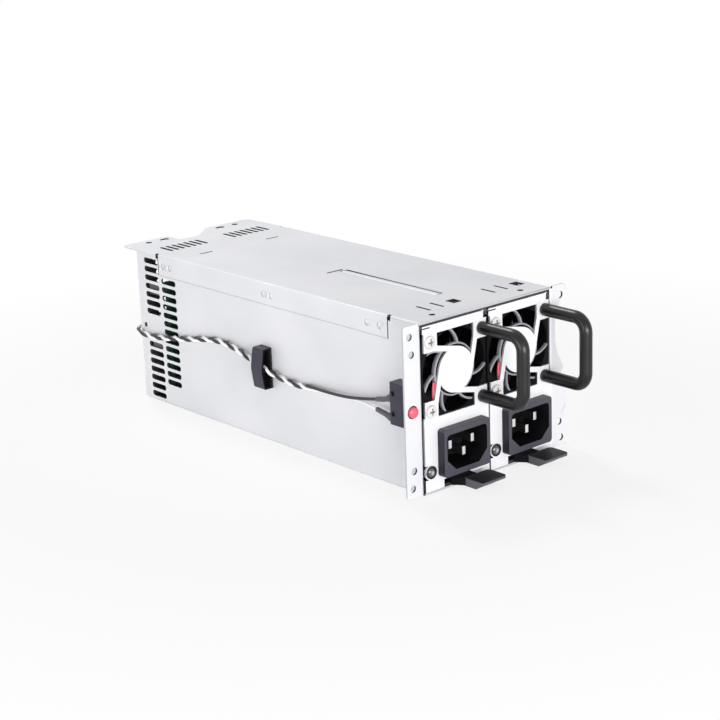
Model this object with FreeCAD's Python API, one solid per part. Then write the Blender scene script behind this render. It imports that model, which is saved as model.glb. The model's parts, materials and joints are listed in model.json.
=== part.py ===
# Hot swap server power supply: a sheet steel cage that holds two plug-in modules side by side.
# Millimetres.  X runs right, Y to the rear and Z up, and the front looks along -Y.
# The origin is the centre of the cage's bottom face.

import FreeCAD, Part
import math
import os

V = FreeCAD.Vector

# ---- cage ------------------------------------------------------------------------------------
CAGE_LENGTH = 214.5
SHEET = 1.0
BEND_INSIDE = 1.0
CORNER_BEND = 1.6
FLAP_FROM_FRONT = 21.0
FLAP_FROM_REAR = 19.1
FLAP_DROP = 10.8
FLAP_SEAM = 0.15
FLAP_SLIT = 0.6
FLAP_RELIEF_LENGTH = 2.2
FLAP_RELIEF_DEPTH = 2.4
FLAP_RELIEF_OVERCUT = 0.3
DIVIDER_SHEET = 0.6
DIVIDER_FLANGE = 3.4
DIVIDER_START = 4.0
DIVIDER_FROM_REAR = 34.5
DIVIDER_TABS = 3
DIVIDER_TAB_LENGTH = 8.0

# front flanges: how far each stands out, the screw holes and the button hole
FLANGE_REACH = 9.8
FLANGE_BOTTOM = 0.9
FLANGE_CORNER = 1.5
FLANGE_HOLE_RADIUS = 1.7
FLANGE_HOLE_OUT = 6.3
FLANGE_HOLE_INNER_OUT = 5.3
FLANGE_HOLE_LOW = 5.3
FLANGE_HOLE_INNER_LOW = 13.4
FLANGE_HOLE_BELOW_TOP = 5.0
FLANGE_HOLE_INNER_BELOW_TOP = 13.2
# edge of the right flange from its straight foot up to its ear: step in, height from the fan's middle
# and corner radius
RIGHT_CUT_IN = ((0, -32.4, 6.0), (1.0, -25.7, 6.0), (2.9, -17.3, 1.5), (1.4, -14.5, 1.5), (5.2, -7.7, 3.0),
                (7.0, -0.9, 6.0), (7.0, 8.3, 4.0), (3.4, 17.9, 3.0), (0, 19.7, 1.2))
LANCE_RADIUS = 1.3
LANCE_FROM_REAR = 4.2
LANCE_HEIGHT = 40.6

# vents in the side walls: two columns on one grid of rows, with a plain band for the leads in the rear one
VENT_LENGTH = 12.2
VENT_HEIGHT = 2.9
VENT_PITCH = 4.49
VENT_BELOW_TOP = 4.7
VENT_ABOVE_BOTTOM = 3.9
VENT_REAR_COLUMN = 12.4
VENT_FRONT_COLUMN = 26.8
VENT_PLAIN_HALF = 7.0
VENT_SHORTER_COUNT = 2

# top cover: rear tabs, vents, slits and holes
TAB_REACH = 13.0
TAB_STEP_DOWN = 0.3
TAB_NOTCH_DEPTH = 12.5
TAB_NOTCH_LEFT = -12.7
TAB_NOTCH_RIGHT = -1.0
TAB_SLOPE_TOP = 12.7
TAB_HOLE_X = 28.5
TAB_SLOT_X = 18.4
TAB_HOLE_FROM_REAR = 7.5
TAB_HOLE_RADIUS = 1.7
TAB_SLOT_LENGTH = 5.4
TOP_VENT_COUNT = 7
TOP_VENT_PITCH = 3.7
TOP_VENT_WIDTH = 1.9
TOP_VENT_FROM_REAR = 7.2
TOP_VENT_LENGTH = 11.3
SLIT_WIDTH = 0.9
CROSS_SLIT_LENGTH = 8.0
CROSS_SLIT_FROM_REAR = 35.0
CROSS_SLIT_X = (-22.9, 20.4)
FRONT_SLIT_START = 12.3
FRONT_SLIT_END = 21.5
FRONT_SLIT_OFFSETS = (-2.8, 5.4)
LANCE_WINDOW_OFFSET = 15.0
LANCE_WINDOW_WIDTH = 5.2
LANCE_WINDOW_START = 12.9
LANCE_WINDOW_END = 18.9
COVER_HOLE_X = 28.0
COVER_HOLE_Y = 6.3
COVER_HOLE_RADIUS = 1.5
SPINE_SLOT_LEFT = -3.5
SPINE_SLOT_RIGHT = 1.3
SPINE_SLOT_START = 29.5
SPINE_SLOT_END = 97.3
SPINE_SLIT_Y = 99.2
SPINE_SLIT_LEFT = -10.0

# weld dimples on the cover's side flaps
WELD_RADIUS = 1.6
WELD_DEPTH = 0.25
WELD_BELOW_TOP = 5.8
WELD_FROM_START = (5.2, 13.5)
WELD_FROM_MIDDLE = (-4.9, 1.0)
WELD_FROM_END = (9.9, 3.7)

# rear panel
PANEL_INSET = 2.2
PANEL_FLANGE = 1.8
OUTLET_WIDTH = 34.0
OUTLET_HEIGHT = 24.0
OUTLET_X = 12.0
OUTLET_Z = 20.0
OUTLET_CORNER = 3.0
PANEL_SLOT_COUNT = 6
PANEL_SLOT_PITCH = 5.2
PANEL_SLOT_LENGTH = 24.0
PANEL_SLOT_WIDTH = 2.6
PANEL_SLOT_LOW = 46.0
PANEL_CORNER = 1.0
LEAD_NOTCH_DEPTH = 10.5
LEAD_NOTCH_LOW = 32.5
LEAD_NOTCH_HIGH = 43.5

# backplane behind the modules
BOARD = 1.6
BACKPLANE_FROM_REAR = 21.9
BACKPLANE_MARGIN = 1.2
BACKPLANE_BOTTOM = 3.2
BACKPLANE_TOP = 66.0
BRACKET_LEG = 12.0
BRACKET_SHEET = 0.8
BRACKET_HEIGHT = 7.0
SOCKET_WIDTH = 34.0
SOCKET_HEIGHT = 8.0
SOCKET_DEPTH = 10.2
SOCKET_SLOT_CLEAR = 0.2
SOCKET_SLOT_DEPTH = 7.5
TERMINAL_PITCH = 12.5
TERMINAL_COUNT = 5
TERMINAL_WIDTH = 8.0
TERMINAL_DEPTH = 9.0
TERMINAL_Z = 22.0
TERMINAL_SCREW_RADIUS = 1.6
BUZZER_RADIUS = 6.0
BUZZER_DEPTH = 7.5
BUZZER_PORT_RADIUS = 1.0
BUZZER_X = 14.0
BUZZER_Z = 48.0
HEADER_FROM_EDGE = 5.7
HEADER_Z = 38.0
HEADER_WIDTH = 5.4
HEADER_HEIGHT = 6.2
HEADER_DEPTH = 8.5
BOARD_SCREW_X = 31.0
BOARD_SCREW_Z = (61.5, 31.0)

# mute switch, its button and the lead clip on the left wall
SWITCH_WIDTH = 6.4
SWITCH_DEPTH = 10.2
SWITCH_HEIGHT = 19.8
SWITCH_OUT = 5.3
SWITCH_Z = 43.7
SWITCH_HOLE_RADIUS = 1.2
SWITCH_HOLE_PITCH = 9.5
SWITCH_HOLE_DEPTH = 8.3
BUTTON_RADIUS = 2.7
BUTTON_CLEARANCE = 0.3
BUTTON_PROUD = 2.0
BUTTON_TRAVEL = 1.2
BUTTON_Z = 41.0
PLUNGER_RADIUS = 1.1
PLUNGER_DEPTH = 3.0
BLADE_OFFSETS = {"upper": 0.9, "lower": -8.4}
BLADE_THICK = 0.5
BLADE_WIDE = 2.8
BLADE_LONG = 3.4
SLEEVE_GAP = 0.4
SLEEVE_RADIUS = 1.5
SLEEVE_REACH = 12.0
SLEEVE_RISE = {"upper": -2.6, "lower": 1.9}
SLEEVE_FLAT_LENGTH = 4.0
SLEEVE_FLAT_WIDTH = 2.4
SLEEVE_FLAT_MARGIN = 0.5
CLIP_Y = 109.2
CLIP_Z = 38.6
CLIP_LENGTH = 8.2
CLIP_HEIGHT = 20.4
CLIP_DEPTH = 6.2
CLIP_WALL = 1.1
CLIP_BOW = 1.6
CLIP_BOW_RADIUS = 12.0
CLIP_CORNER = 1.2
PAD_THICKNESS = 0.8

# leads from the backplane to the mute switch
LEAD_RADIUS = 0.75
LEAD_SPACING = 2.0
LEAD_TAIL = 7.0
CORD_ARC_SHARE = 0.45

# ---- modules ---------------------------------------------------------------------------------
BAYS = 2
BAY_CLEARANCE = 0.15
RUNNING_GAP = 0.3
MODULE_TOP_GAP = 1.0
PLATE = 1.0
PLATE_PROUD = 0.4
CASE_SHEET = 0.8
CASE_SIDE_GAP = 0.25
CASE_FROM_BACKPLANE = 14.6
CASE_VENT_COUNT = 8
CASE_VENT_PITCH = 5.0
CASE_VENT_START = 22.0
CASE_VENT_LENGTH = 26.0
CASE_VENT_WIDTH = 2.6
CARD_SLOT_SIDE_GAP = 1.0
CARD_SLOT_FACE_GAP = 1.5

# axial fan and the guard pressed out of the front plate
FAN_SIZE = 40.0
FAN_DEPTH = 20.0
FAN_CORNER = 3.0
FAN_RIM = 1.3
FAN_HOLE_INSET = 4.0
FAN_HOLE_RADIUS = 1.75
FAN_SIDE_GAP = 0.05
FAN_ABOVE_INLET = 5.15
FAN_TOP_GAP = 3.6
FULL_TURN = 360.0
FAN_HUB_RADIUS = 12.0
FAN_HUB_DEPTH = 2.6
STRUT_COUNT = 5
STRUT_WIDTH = 1.3
STRUT_DEPTH = 2.4
STRUT_SWEEP = 38.0
STRUT_BELLY = 14.4
STRUT_START = 12.0
ROTOR_RADIUS = 10.8
ROTOR_GAP = 0.6
ROTOR_DEPTH = 14.0
BLADE_COUNT = 7
BLADE_CLEARANCE = 0.5
BLADE_THICKNESS = 0.9
BLADE_HALF_CHORD = 8.5
BLADE_ROOT_PITCH = 48.0
BLADE_TIP_PITCH = 32.0
BLADE_SINK = 0.6
BLADE_EDGE_GAP = 0.5
SHAFT_RADIUS = 1.0
SHAFT_FIT = 0.05
GUARD_DISC_RADIUS = 10.6
GUARD_TAB_INSET = 4.7
GUARD_FRAME_COVER = 0.6
GUARD_ARM = 2.5
GUARD_ARM_ROOT = 2.1
EDGE_RELIEF = 0.8
EDGE_RELIEF_OVER_TAB = 0.7
HEM_SLIT_LENGTH = 4.6
HEM_SLIT_WIDTH = 0.6
HEM_SLIT_BELOW_TOP = 1.0
EAR_ABOVE_FAN = 0.9
EAR_GAP = 0.7

# handle, screws
HANDLE_RADIUS = 3.0
HANDLE_REACH = 26.1
HANDLE_BEND = 6.5
SCREW_RADIUS = 1.5
SCREW_HEAD_RADIUS = 3.1
SCREW_HEAD_HEIGHT = 1.5
SCREW_GRIP = 6.0
CROSS_WIDTH = 0.7
CROSS_LENGTH = 3.2
CROSS_DEPTH = 0.8
BORE_FIT = 0.05

# mains inlet
INLET_Z = 18.5
BEZEL_WIDTH = 28.7
BEZEL_HEIGHT = 22.5
BEZEL_DEPTH = 4.4
BEZEL_CORNER = 1.6
CAVITY_WIDTH = 24.8
CAVITY_HEIGHT = 17.0
CAVITY_DEPTH = 16.0
CAVITY_CHAMFER = 5.2
CAVITY_CORNER = 1.8
INLET_WALL = 1.3
INLET_BACK = 2.2
INLET_FIT = 0.15
PIN_WIDTH = 2.0
PIN_HEIGHT = 4.0
PIN_SPACING = 14.0
PIN_RISE = 2.2
EARTH_DROP = 2.0
PIN_RECESS = 3.9
EARTH_RECESS = 2.4
PIN_TAIL = 5.0

# status lamp
LAMP_INSET = 3.35
LAMP_Z = 10.4
LAMP_LENS_RADIUS = 2.3
LAMP_RING = 0.7
LAMP_RING_PROUD = 0.7
LAMP_LENS_PROUD = 1.2
LAMP_DEPTH = 6.0
LAMP_EYE_RADIUS = 3.6
LAMP_WINDOW_DEPTH = 2.1
LAMP_WINDOW_HEIGHT = 6.8
LAMP_WINDOW_ROOM = 8.0
LAMP_TO_INLET = 1.35

# release latch under the inlet
LATCH_OPENING_LEFT = -8.7
LATCH_OPENING_RIGHT = 7.7
LATCH_OPENING_TOP = 5.1
LATCH_NECK_LEFT = -4.9
LATCH_SIDE_GAP = 0.3
LATCH_PIVOT_Y = 32.0
LATCH_THICKNESS = 2.6
LATCH_FLOOR_GAP = 0.2
LATCH_BOSS_RADIUS = 5.0
LATCH_PIN_RADIUS = 1.5
LATCH_PIN_HEAD = 2.6
LATCH_PIN_HEAD_HEIGHT = 0.8
LATCH_SPRING_HEIGHT = 2.4
LATCH_SPRING_WALL = 0.6
LATCH_SPRING_GAP = 0.1
NECK_FRONT = 1.0
NECK_CORNER = 2.0
NECK_LIFT = 0.3
PADDLE_LEFT = -1.0
PADDLE_RIGHT = 14.7
PADDLE_BACK = 5.2
PADDLE_FRONT = 17.2
PADDLE_TOP = 5.0
PADDLE_BOTTOM = 1.1
PADDLE_LIP = 1.1
PADDLE_UNDERCUT = 4.6
PADDLE_HOLLOW = 6.0
PADDLE_CORNER = 2.0
TOOTH_WIDTH = 5.0
TOOTH_LENGTH = 5.0
TOOTH_Y = 11.0
TOOTH_RAMP = 1.0
CATCH_CLEARANCE = 0.8

# inside a module
MAIN_BOARD_Z = 10.5
MAIN_BOARD_LENGTH = 132.6
MAIN_BOARD_SIDE_GAP = 0.6
EDGE_TONGUE = 9.0
EDGE_TONGUE_WIDTH = 28.0
STANDOFF_RADIUS = 2.2
STANDOFF_FROM_REAR = (128.0, 10.0)
STANDOFF_INSET = 3.55
TRANSFORMER_WIDTH = 26.0
TRANSFORMER_DEPTH = 28.0
TRANSFORMER_HEIGHT = 30.0
TRANSFORMER_FROM_REAR = 56.0
CORE_YOKE = 6.0
CORE_LEG = 4.0
CORE_CENTRE_LEG = 8.0
WINDING_GAP = 0.6
WINDING_OVERHANG = 3.0
CAPACITOR_RADIUS = 11.0
CAPACITOR_HEIGHT = 42.0
CAPACITOR_PLACES = ((-4.0, 116.0), (4.0, 90.0))
CAN_CHAMFER = 0.8
HEAT_SINK_FINS = 6
HEAT_SINK_FIN = 1.2
HEAT_SINK_FOOT = 3.0
HEAT_SINK_PITCH = 4.4
HEAT_SINK_HEIGHT = 46.0
HEAT_SINK_LENGTH = 28.0
HEAT_SINK_FROM_REAR = 8.0
FAN_LEAD_RADIUS = 0.6
FAN_LEAD_ROUTE = ((-12.25, -3.7), (-13.1, -8.0), (-12.5, -12.9))

# ---- values worked out from the ones above ----------------------------------------------------
# A module is as wide as its fan, and as high as its inlet and fan need; the cage takes two of them.
FAN_HOLE_PITCH = FAN_SIZE - 2 * FAN_HOLE_INSET
FAN_HOLE = FAN_HOLE_PITCH / 2
FAN_BORE_RADIUS = FAN_SIZE / 2 - FAN_RIM
GUARD_TAB = FAN_HOLE - GUARD_TAB_INSET
GUARD_REACH = FAN_SIZE / 2 - GUARD_FRAME_COVER
MODULE_HALF = FAN_SIZE / 2 + FAN_SIDE_GAP
BAY_WIDTH = 2 * (MODULE_HALF + BAY_CLEARANCE)
BAY_CENTRE = (BAY_WIDTH + DIVIDER_SHEET) / 2
CAGE_WIDTH = BAYS * BAY_WIDTH + DIVIDER_SHEET + 2 * SHEET
FAN_Z = INLET_Z + BEZEL_HEIGHT / 2 + FAN_ABOVE_INLET + FAN_SIZE / 2
MODULE_BOTTOM = SHEET + RUNNING_GAP
MODULE_TOP = FAN_Z + FAN_SIZE / 2 + FAN_TOP_GAP
COVER_UNDER = MODULE_TOP + MODULE_TOP_GAP
CAGE_HEIGHT = COVER_UNDER + SHEET
FRONT = -CAGE_LENGTH / 2
REAR = CAGE_LENGTH / 2
WALL_OUT = CAGE_WIDTH / 2
WALL_IN = WALL_OUT - SHEET
FLAP_LOW = CAGE_HEIGHT - FLAP_DROP
FLAP_START = FRONT + FLAP_FROM_FRONT
FLAP_END = REAR - FLAP_FROM_REAR
FLANGE_TOP = CAGE_HEIGHT
BACKPLANE_FACE = REAR - BACKPLANE_FROM_REAR
BACKPLANE_BACK = BACKPLANE_FACE + BOARD
BACKPLANE_HALF = WALL_IN - BACKPLANE_MARGIN
HEADER_X = HEADER_FROM_EDGE - BACKPLANE_HALF
PLATE_FACE = FRONT - PLATE_PROUD
PLATE_BACK = PLATE_FACE + PLATE
CASE_HALF = BAY_WIDTH / 2 - SHEET - CASE_SIDE_GAP
CASE_FLOOR = MODULE_BOTTOM + CASE_SHEET
CASE_REAR = BACKPLANE_FACE - CASE_FROM_BACKPLANE
FAN_BACK = PLATE_BACK + FAN_DEPTH
HUB_BACK = PLATE_BACK + FAN_HUB_DEPTH
LAMP_X = LAMP_INSET - MODULE_HALF
INLET_X = LAMP_X + LAMP_LENS_RADIUS + LAMP_RING + LAMP_TO_INLET + BEZEL_WIDTH / 2
BEZEL_FACE = PLATE_FACE - BEZEL_DEPTH
BOTH = (-1, 1)


# ---- drawing helpers --------------------------------------------------------------------------
def box(x, y, z):
    """Box between low and high values on each axis."""
    return Part.makeBox(x[1] - x[0], y[1] - y[0], z[1] - z[0], V(x[0], y[0], z[0]))


def rod(radius, start, push):
    """Round rod from a start point along a push vector."""
    along = V(*push)
    return Part.makeCylinder(radius, along.Length, V(*start), along)


def ring(outer, inner, start, push):
    """Round tube from a start point along a push vector."""
    return rod(outer, start, push).cut(rod(inner, start, push))


def in_xy(z):
    """Place flat points (u, v) at (x, y) on a level."""
    return lambda u, v: V(u, v, z)


def in_xz(y):
    """Place flat points (u, v) at (x, z) on an upright plane facing the front."""
    return lambda u, v: V(u, y, v)


def in_yz(x):
    """Place flat points (u, v) at (y, z) on an upright plane facing the side."""
    return lambda u, v: V(x, u, v)


def outline(corners, place):
    """Closed wire through corners (u, v) or (u, v, radius), rounded where a radius is given."""
    arcs = []
    count = len(corners)
    for index, corner in enumerate(corners):
        here = V(corner[0], corner[1], 0)
        back = (V(*corners[index - 1][:2], 0) - here).normalize()
        ahead = (V(*corners[(index + 1) % count][:2], 0) - here).normalize()
        radius = corner[2] if len(corner) > 2 else 0
        half = back.getAngle(ahead) / 2
        setback = radius / math.tan(half)
        middle = here + (back + ahead).normalize() * (radius / math.sin(half) - radius) if radius else here
        arcs.append((here + back * setback, middle, here + ahead * setback))
    edges = []
    for index, (start, middle, end) in enumerate(arcs):
        before = arcs[index - 1][2]
        if (start - before).Length > 1e-6:
            edges.append(Part.makeLine(place(before.x, before.y), place(start.x, start.y)))
        if (end - start).Length > 1e-6:
            spots = [place(spot.x, spot.y) for spot in (start, middle, end)]
            edges.append(Part.Arc(*spots).toShape())
    return Part.Wire(edges)


def prism(corners, place, push):
    """Solid with a rounded outline, pushed along a vector."""
    return Part.Face(outline(corners, place)).extrude(V(*push))


def rectangle(u, v, radius=0):
    """Corners of a rectangle between low and high values."""
    return [(u[0], v[0], radius), (u[1], v[0], radius), (u[1], v[1], radius), (u[0], v[1], radius)]


def around(centre, size):
    """Low and high values of a length about its centre."""
    return (centre - size / 2, centre + size / 2)


def slot(centre, length, width):
    """Corners of a slot with round ends, its length along the first axis."""
    return rectangle(around(centre[0], length), around(centre[1], width), width / 2 - 1e-4)


def fused(shapes):
    """One solid from pieces that touch or overlap."""
    return shapes[0].multiFuse(shapes[1:]).removeSplitter()


def mirrored(shape):
    """The same shape on the other side of the middle plane."""
    return shape.mirror(V(0, 0, 0), V(1, 0, 0))


def smooth_path(points, bend=None):
    """Wire of straight runs joined by tangent arcs of a bend radius, or as large as the runs allow."""
    spots = [V(*point) for point in points]
    edges = []
    last = spots[0]
    for before, here, after in zip(spots, spots[1:], spots[2:]):
        back = before - here
        ahead = after - here
        half = back.getAngle(ahead) / 2
        radius = bend or CORD_ARC_SHARE * min(back.Length, ahead.Length) * math.tan(half)
        reach = radius / math.tan(half)
        back.normalize()
        ahead.normalize()
        start = here + back * reach
        end = here + ahead * reach
        middle = here + (back + ahead).normalize() * (radius / math.sin(half) - radius)
        edges.append(Part.makeLine(last, start))
        edges.append(Part.Arc(start, middle, end).toShape())
        last = end
    edges.append(Part.makeLine(last, spots[-1]))
    return Part.Wire(edges)


def tube(points, radius, bend=None):
    """Round bar or cord along a smooth path."""
    path = smooth_path(points, bend)
    start = path.Edges[0]
    heading = start.tangentAt(start.FirstParameter)
    circle = Part.Wire(Part.makeCircle(radius, V(*points[0]), heading))
    return path.makePipeShell([circle], True, False)


def cord(name, points, radius):
    """Cord along its points, with its bend radii printed."""
    bends = [edge.Curve.Radius for edge in smooth_path(points).Edges if isinstance(edge.Curve, Part.Circle)]
    print(f"{name}: diameter {2 * radius}, bend radii", [round(bend, 1) for bend in bends])
    return tube(points, radius)


def pan_head_screw(head, push, length):
    """Screw with a crossed pan head, its seat at a point and its shank along a push direction."""
    along = V(*push)
    top = V(*head) - along * SCREW_HEAD_HEIGHT
    body = rod(SCREW_HEAD_RADIUS, top, along * SCREW_HEAD_HEIGHT)
    rim = [edge for edge in body.Edges if edge.Closed and edge.CenterOfMass.distanceToPoint(top) < 1e-6]
    body = body.makeFillet(SCREW_HEAD_HEIGHT / 2, rim)
    body = body.fuse(rod(SCREW_RADIUS, head, along * length))
    arms = []
    for size in ((CROSS_LENGTH, CROSS_WIDTH), (CROSS_WIDTH, CROSS_LENGTH)):
        low = min(top.y, (top + along * CROSS_DEPTH).y)
        arms.append(box(around(top.x, size[0]), (low, low + CROSS_DEPTH), around(top.z, size[1])))
    return body.cut(arms).removeSplitter()


# ---- cage -------------------------------------------------------------------------------------
def side_vents():
    """Cutters for the two columns of vents in the left wall; the front column is shorter at both ends."""
    span = CAGE_HEIGHT - VENT_BELOW_TOP - VENT_ABOVE_BOTTOM
    heights = [CAGE_HEIGHT - VENT_BELOW_TOP - row * VENT_PITCH for row in range(int(span / VENT_PITCH) + 1)]
    rear = [height for height in heights if abs(height - LANCE_HEIGHT) > VENT_PLAIN_HALF]
    front = heights[VENT_SHORTER_COUNT:-VENT_SHORTER_COUNT]
    places = [(REAR - VENT_REAR_COLUMN, height) for height in rear]
    places += [(REAR - VENT_FRONT_COLUMN, height) for height in front]
    return [prism(slot(place, VENT_LENGTH, VENT_HEIGHT), in_yz(-WALL_OUT - SHEET), (3 * SHEET, 0, 0))
            for place in places]


def left_wall():
    """Left wall above the floor bend: plain at both ends, offset inward behind the cover's flap."""
    seam = FLAP_LOW - FLAP_SEAM
    start, end = FLAP_START - FLAP_SLIT, FLAP_END + FLAP_SLIT
    bend_end = FRONT + BEND_INSIDE + SHEET
    low = box((-WALL_OUT, -WALL_IN), (bend_end, REAR), (CORNER_BEND + SHEET, seam))
    front = box((-WALL_OUT, -WALL_IN), (bend_end, start), (seam, COVER_UNDER))
    rear = box((-WALL_OUT, -WALL_IN), (end, REAR), (seam, COVER_UNDER))
    behind = box((-WALL_IN, SHEET - WALL_IN), (FLAP_START + RUNNING_GAP, FLAP_END - RUNNING_GAP),
                 (seam - SHEET, COVER_UNDER))
    return fused([low, front, rear, behind])


def flap_reliefs():
    """Corner cut-outs at both ends of the left flap, through the cover and the wall's top edge."""
    x = (-WALL_OUT - SHEET, -WALL_IN + FLAP_RELIEF_OVERCUT)
    z = (CAGE_HEIGHT - FLAP_RELIEF_DEPTH, CAGE_HEIGHT + SHEET)
    return [box(x, (FLAP_START - FLAP_RELIEF_LENGTH, FLAP_START), z),
            box(x, (FLAP_END, FLAP_END + FLAP_RELIEF_LENGTH), z)]


def floor():
    """Floor with the lower bends of both walls."""
    top = CORNER_BEND + SHEET
    section = [(-WALL_OUT, 0, CORNER_BEND), (WALL_OUT, 0, CORNER_BEND), (WALL_OUT, top), (WALL_IN, top),
               (WALL_IN, SHEET, CORNER_BEND - SHEET), (-WALL_IN, SHEET, CORNER_BEND - SHEET),
               (-WALL_IN, top), (-WALL_OUT, top)]
    start = FRONT + BEND_INSIDE + SHEET
    channel = prism(section, in_xz(start), (0, REAR - start, 0))
    lip = box((-WALL_IN, WALL_IN), (FRONT, start), (0, SHEET))
    return fused([channel, lip])


def flange_bend(side):
    """Quarter bend that turns a side wall outward into its front flange."""
    centre = (side * (WALL_OUT + BEND_INSIDE), FRONT + BEND_INSIDE + SHEET)
    outer = BEND_INSIDE + SHEET
    sector = ring(outer, BEND_INSIDE, (*centre, SHEET), (0, 0, COVER_UNDER - SHEET))
    x = sorted((centre[0], centre[0] - side * outer))
    return sector.common(box(x, (FRONT, centre[1]), (SHEET, COVER_UNDER)))


def left_flange():
    """Plain front flange with four screw holes and the button hole."""
    x = (-WALL_OUT - FLANGE_REACH, -WALL_OUT - BEND_INSIDE)
    corners = [(x[0], FLANGE_BOTTOM, FLANGE_CORNER), (x[1], FLANGE_BOTTOM), (x[1], FLANGE_TOP),
               (x[0], FLANGE_TOP, FLANGE_CORNER)]
    plate = prism(corners, in_xz(FRONT), (0, SHEET, 0))
    button_start = (-WALL_OUT - SWITCH_OUT, FRONT - SHEET, BUTTON_Z)
    button = rod(BUTTON_RADIUS + BUTTON_CLEARANCE, button_start, (0, 3 * SHEET, 0))
    inner = (FLANGE_HOLE_INNER_LOW, FLANGE_TOP - FLANGE_HOLE_INNER_BELOW_TOP)
    return plate.cut(flange_holes(-1, inner) + [button])


def right_flange():
    """Front flange with a deep cut-in, an upper ear and a small bump beside the fan openings."""
    inner = WALL_OUT + BEND_INSIDE
    outer = WALL_OUT + FLANGE_REACH
    cut_in = [(outer - step, FAN_Z + rise, radius) for step, rise, radius in RIGHT_CUT_IN]
    corners = [(inner, FLANGE_BOTTOM), (outer, FLANGE_BOTTOM, FLANGE_CORNER), *cut_in,
               (outer, FLANGE_TOP, FLANGE_CORNER), (inner, FLANGE_TOP)]
    return prism(corners, in_xz(FRONT), (0, SHEET, 0)).cut(flange_holes(1, (FLANGE_HOLE_INNER_LOW,)))


def flange_holes(side, inner_heights):
    """Cutters for the screw holes of one front flange."""
    places = [(FLANGE_HOLE_OUT, height) for height in (FLANGE_HOLE_LOW, FLANGE_TOP - FLANGE_HOLE_BELOW_TOP)]
    places += [(FLANGE_HOLE_INNER_OUT, height) for height in inner_heights]
    return [rod(FLANGE_HOLE_RADIUS, (side * (WALL_OUT + out), FRONT - SHEET, height), (0, 3 * SHEET, 0))
            for out, height in places]


def divider_ends():
    """Front and rear ends of the divider."""
    return FRONT + DIVIDER_START, REAR - DIVIDER_FROM_REAR


def divider_tab_starts():
    """Front ends of the divider's tabs in the floor, evenly spaced."""
    start, end = divider_ends()
    pitch = (end - start) / DIVIDER_TABS
    return [start + (index + 1 / 2) * pitch - DIVIDER_TAB_LENGTH / 2 for index in range(DIVIDER_TABS)]


def catch_slot(centre):
    """Cutter for the slot in the floor under one latch tooth."""
    x = around(centre, TOOTH_WIDTH + 2 * CATCH_CLEARANCE)
    y = around(FRONT + TOOTH_Y, TOOTH_LENGTH + 2 * CATCH_CLEARANCE)
    return box(x, y, (-SHEET, 2 * SHEET))


def cage_base():
    """Floor, both walls and both front flanges, bent from one sheet."""
    walls = [left_wall(), mirrored(left_wall())]
    bends = [flange_bend(side) for side in BOTH]
    body = fused([floor(), *walls, *bends, left_flange(), right_flange()])
    lance = rod(LANCE_RADIUS, (-WALL_OUT - SHEET, REAR - LANCE_FROM_REAR, LANCE_HEIGHT), (3 * SHEET, 0, 0))
    cuts = side_vents() + flap_reliefs()
    holes = [lance] + cuts + [mirrored(cut) for cut in cuts]
    holes += [catch_slot(side * BAY_CENTRE + latch_middle()) for side in BOTH]
    for start in divider_tab_starts():
        holes.append(box(around(0, DIVIDER_SHEET), (start, start + DIVIDER_TAB_LENGTH), (-SHEET, 2 * SHEET)))
    return body.cut(holes)


def cover_outline():
    """Corners of the top cover with its two rear tabs."""
    end = REAR + TAB_REACH
    notch = end - TAB_NOTCH_DEPTH
    return [(-WALL_OUT, FRONT), (WALL_OUT, FRONT), (WALL_OUT, end, 3.0), (TAB_SLOPE_TOP, end, 6.0),
            (TAB_NOTCH_RIGHT, notch, 6.0), (TAB_NOTCH_LEFT, notch, 2.0), (TAB_NOTCH_LEFT, end, 2.0),
            (-WALL_OUT, end, 3.0)]


def cover_cutters():
    """Every hole, slot and slit in the top cover."""
    low, push = CAGE_HEIGHT - 2 * SHEET, (0, 0, 3 * SHEET)
    shapes = []
    for side in BOTH:
        bay = side * BAY_CENTRE
        tab_y = REAR + TAB_HOLE_FROM_REAR
        shapes.append(rod(TAB_HOLE_RADIUS, (side * TAB_HOLE_X, tab_y, low), push))
        tab_slot = slot((side * TAB_SLOT_X, tab_y), TAB_SLOT_LENGTH, 2 * TAB_HOLE_RADIUS)
        shapes.append(prism(tab_slot, in_xy(low), push))
        shapes.append(rod(COVER_HOLE_RADIUS, (side * COVER_HOLE_X, FRONT + COVER_HOLE_Y, low), push))
        for index in range(TOP_VENT_COUNT):
            x = bay + (index - (TOP_VENT_COUNT - 1) / 2) * TOP_VENT_PITCH
            end = REAR - TOP_VENT_FROM_REAR
            ends = (end - TOP_VENT_LENGTH, end)
            vent = rectangle(around(x, TOP_VENT_WIDTH), ends, TOP_VENT_WIDTH / 2 - 1e-4)
            shapes.append(prism(vent, in_xy(low), push))
        for offset in FRONT_SLIT_OFFSETS:
            ends = (FRONT + FRONT_SLIT_START, FRONT + FRONT_SLIT_END)
            shapes.append(box(around(bay + offset, SLIT_WIDTH), ends, (low, low + push[2])))
        window = (FRONT + LANCE_WINDOW_START, FRONT + LANCE_WINDOW_END)
        shapes.append(box(around(bay + LANCE_WINDOW_OFFSET, LANCE_WINDOW_WIDTH), window, (low, low + push[2])))
    for x in CROSS_SLIT_X:
        y = around(REAR - CROSS_SLIT_FROM_REAR, SLIT_WIDTH)
        shapes.append(box(around(x, CROSS_SLIT_LENGTH), y, (low, low + push[2])))
    spine = (FRONT + SPINE_SLOT_START, FRONT + SPINE_SLOT_END)
    shapes.append(box((SPINE_SLOT_LEFT, SPINE_SLOT_RIGHT), spine, (low, low + push[2])))
    shapes.append(box((SPINE_SLIT_LEFT, 0), around(FRONT + SPINE_SLIT_Y, SLIT_WIDTH), (low, low + push[2])))
    return shapes


def weld_places():
    """Places of the weld dimples along a flap: a pair near each end and one at its middle."""
    middle = (FLAP_START + FLAP_END) / 2
    places = [FLAP_START + y for y in WELD_FROM_START] + [middle + y for y in WELD_FROM_MIDDLE]
    return places + [FLAP_END - y for y in WELD_FROM_END]


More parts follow.
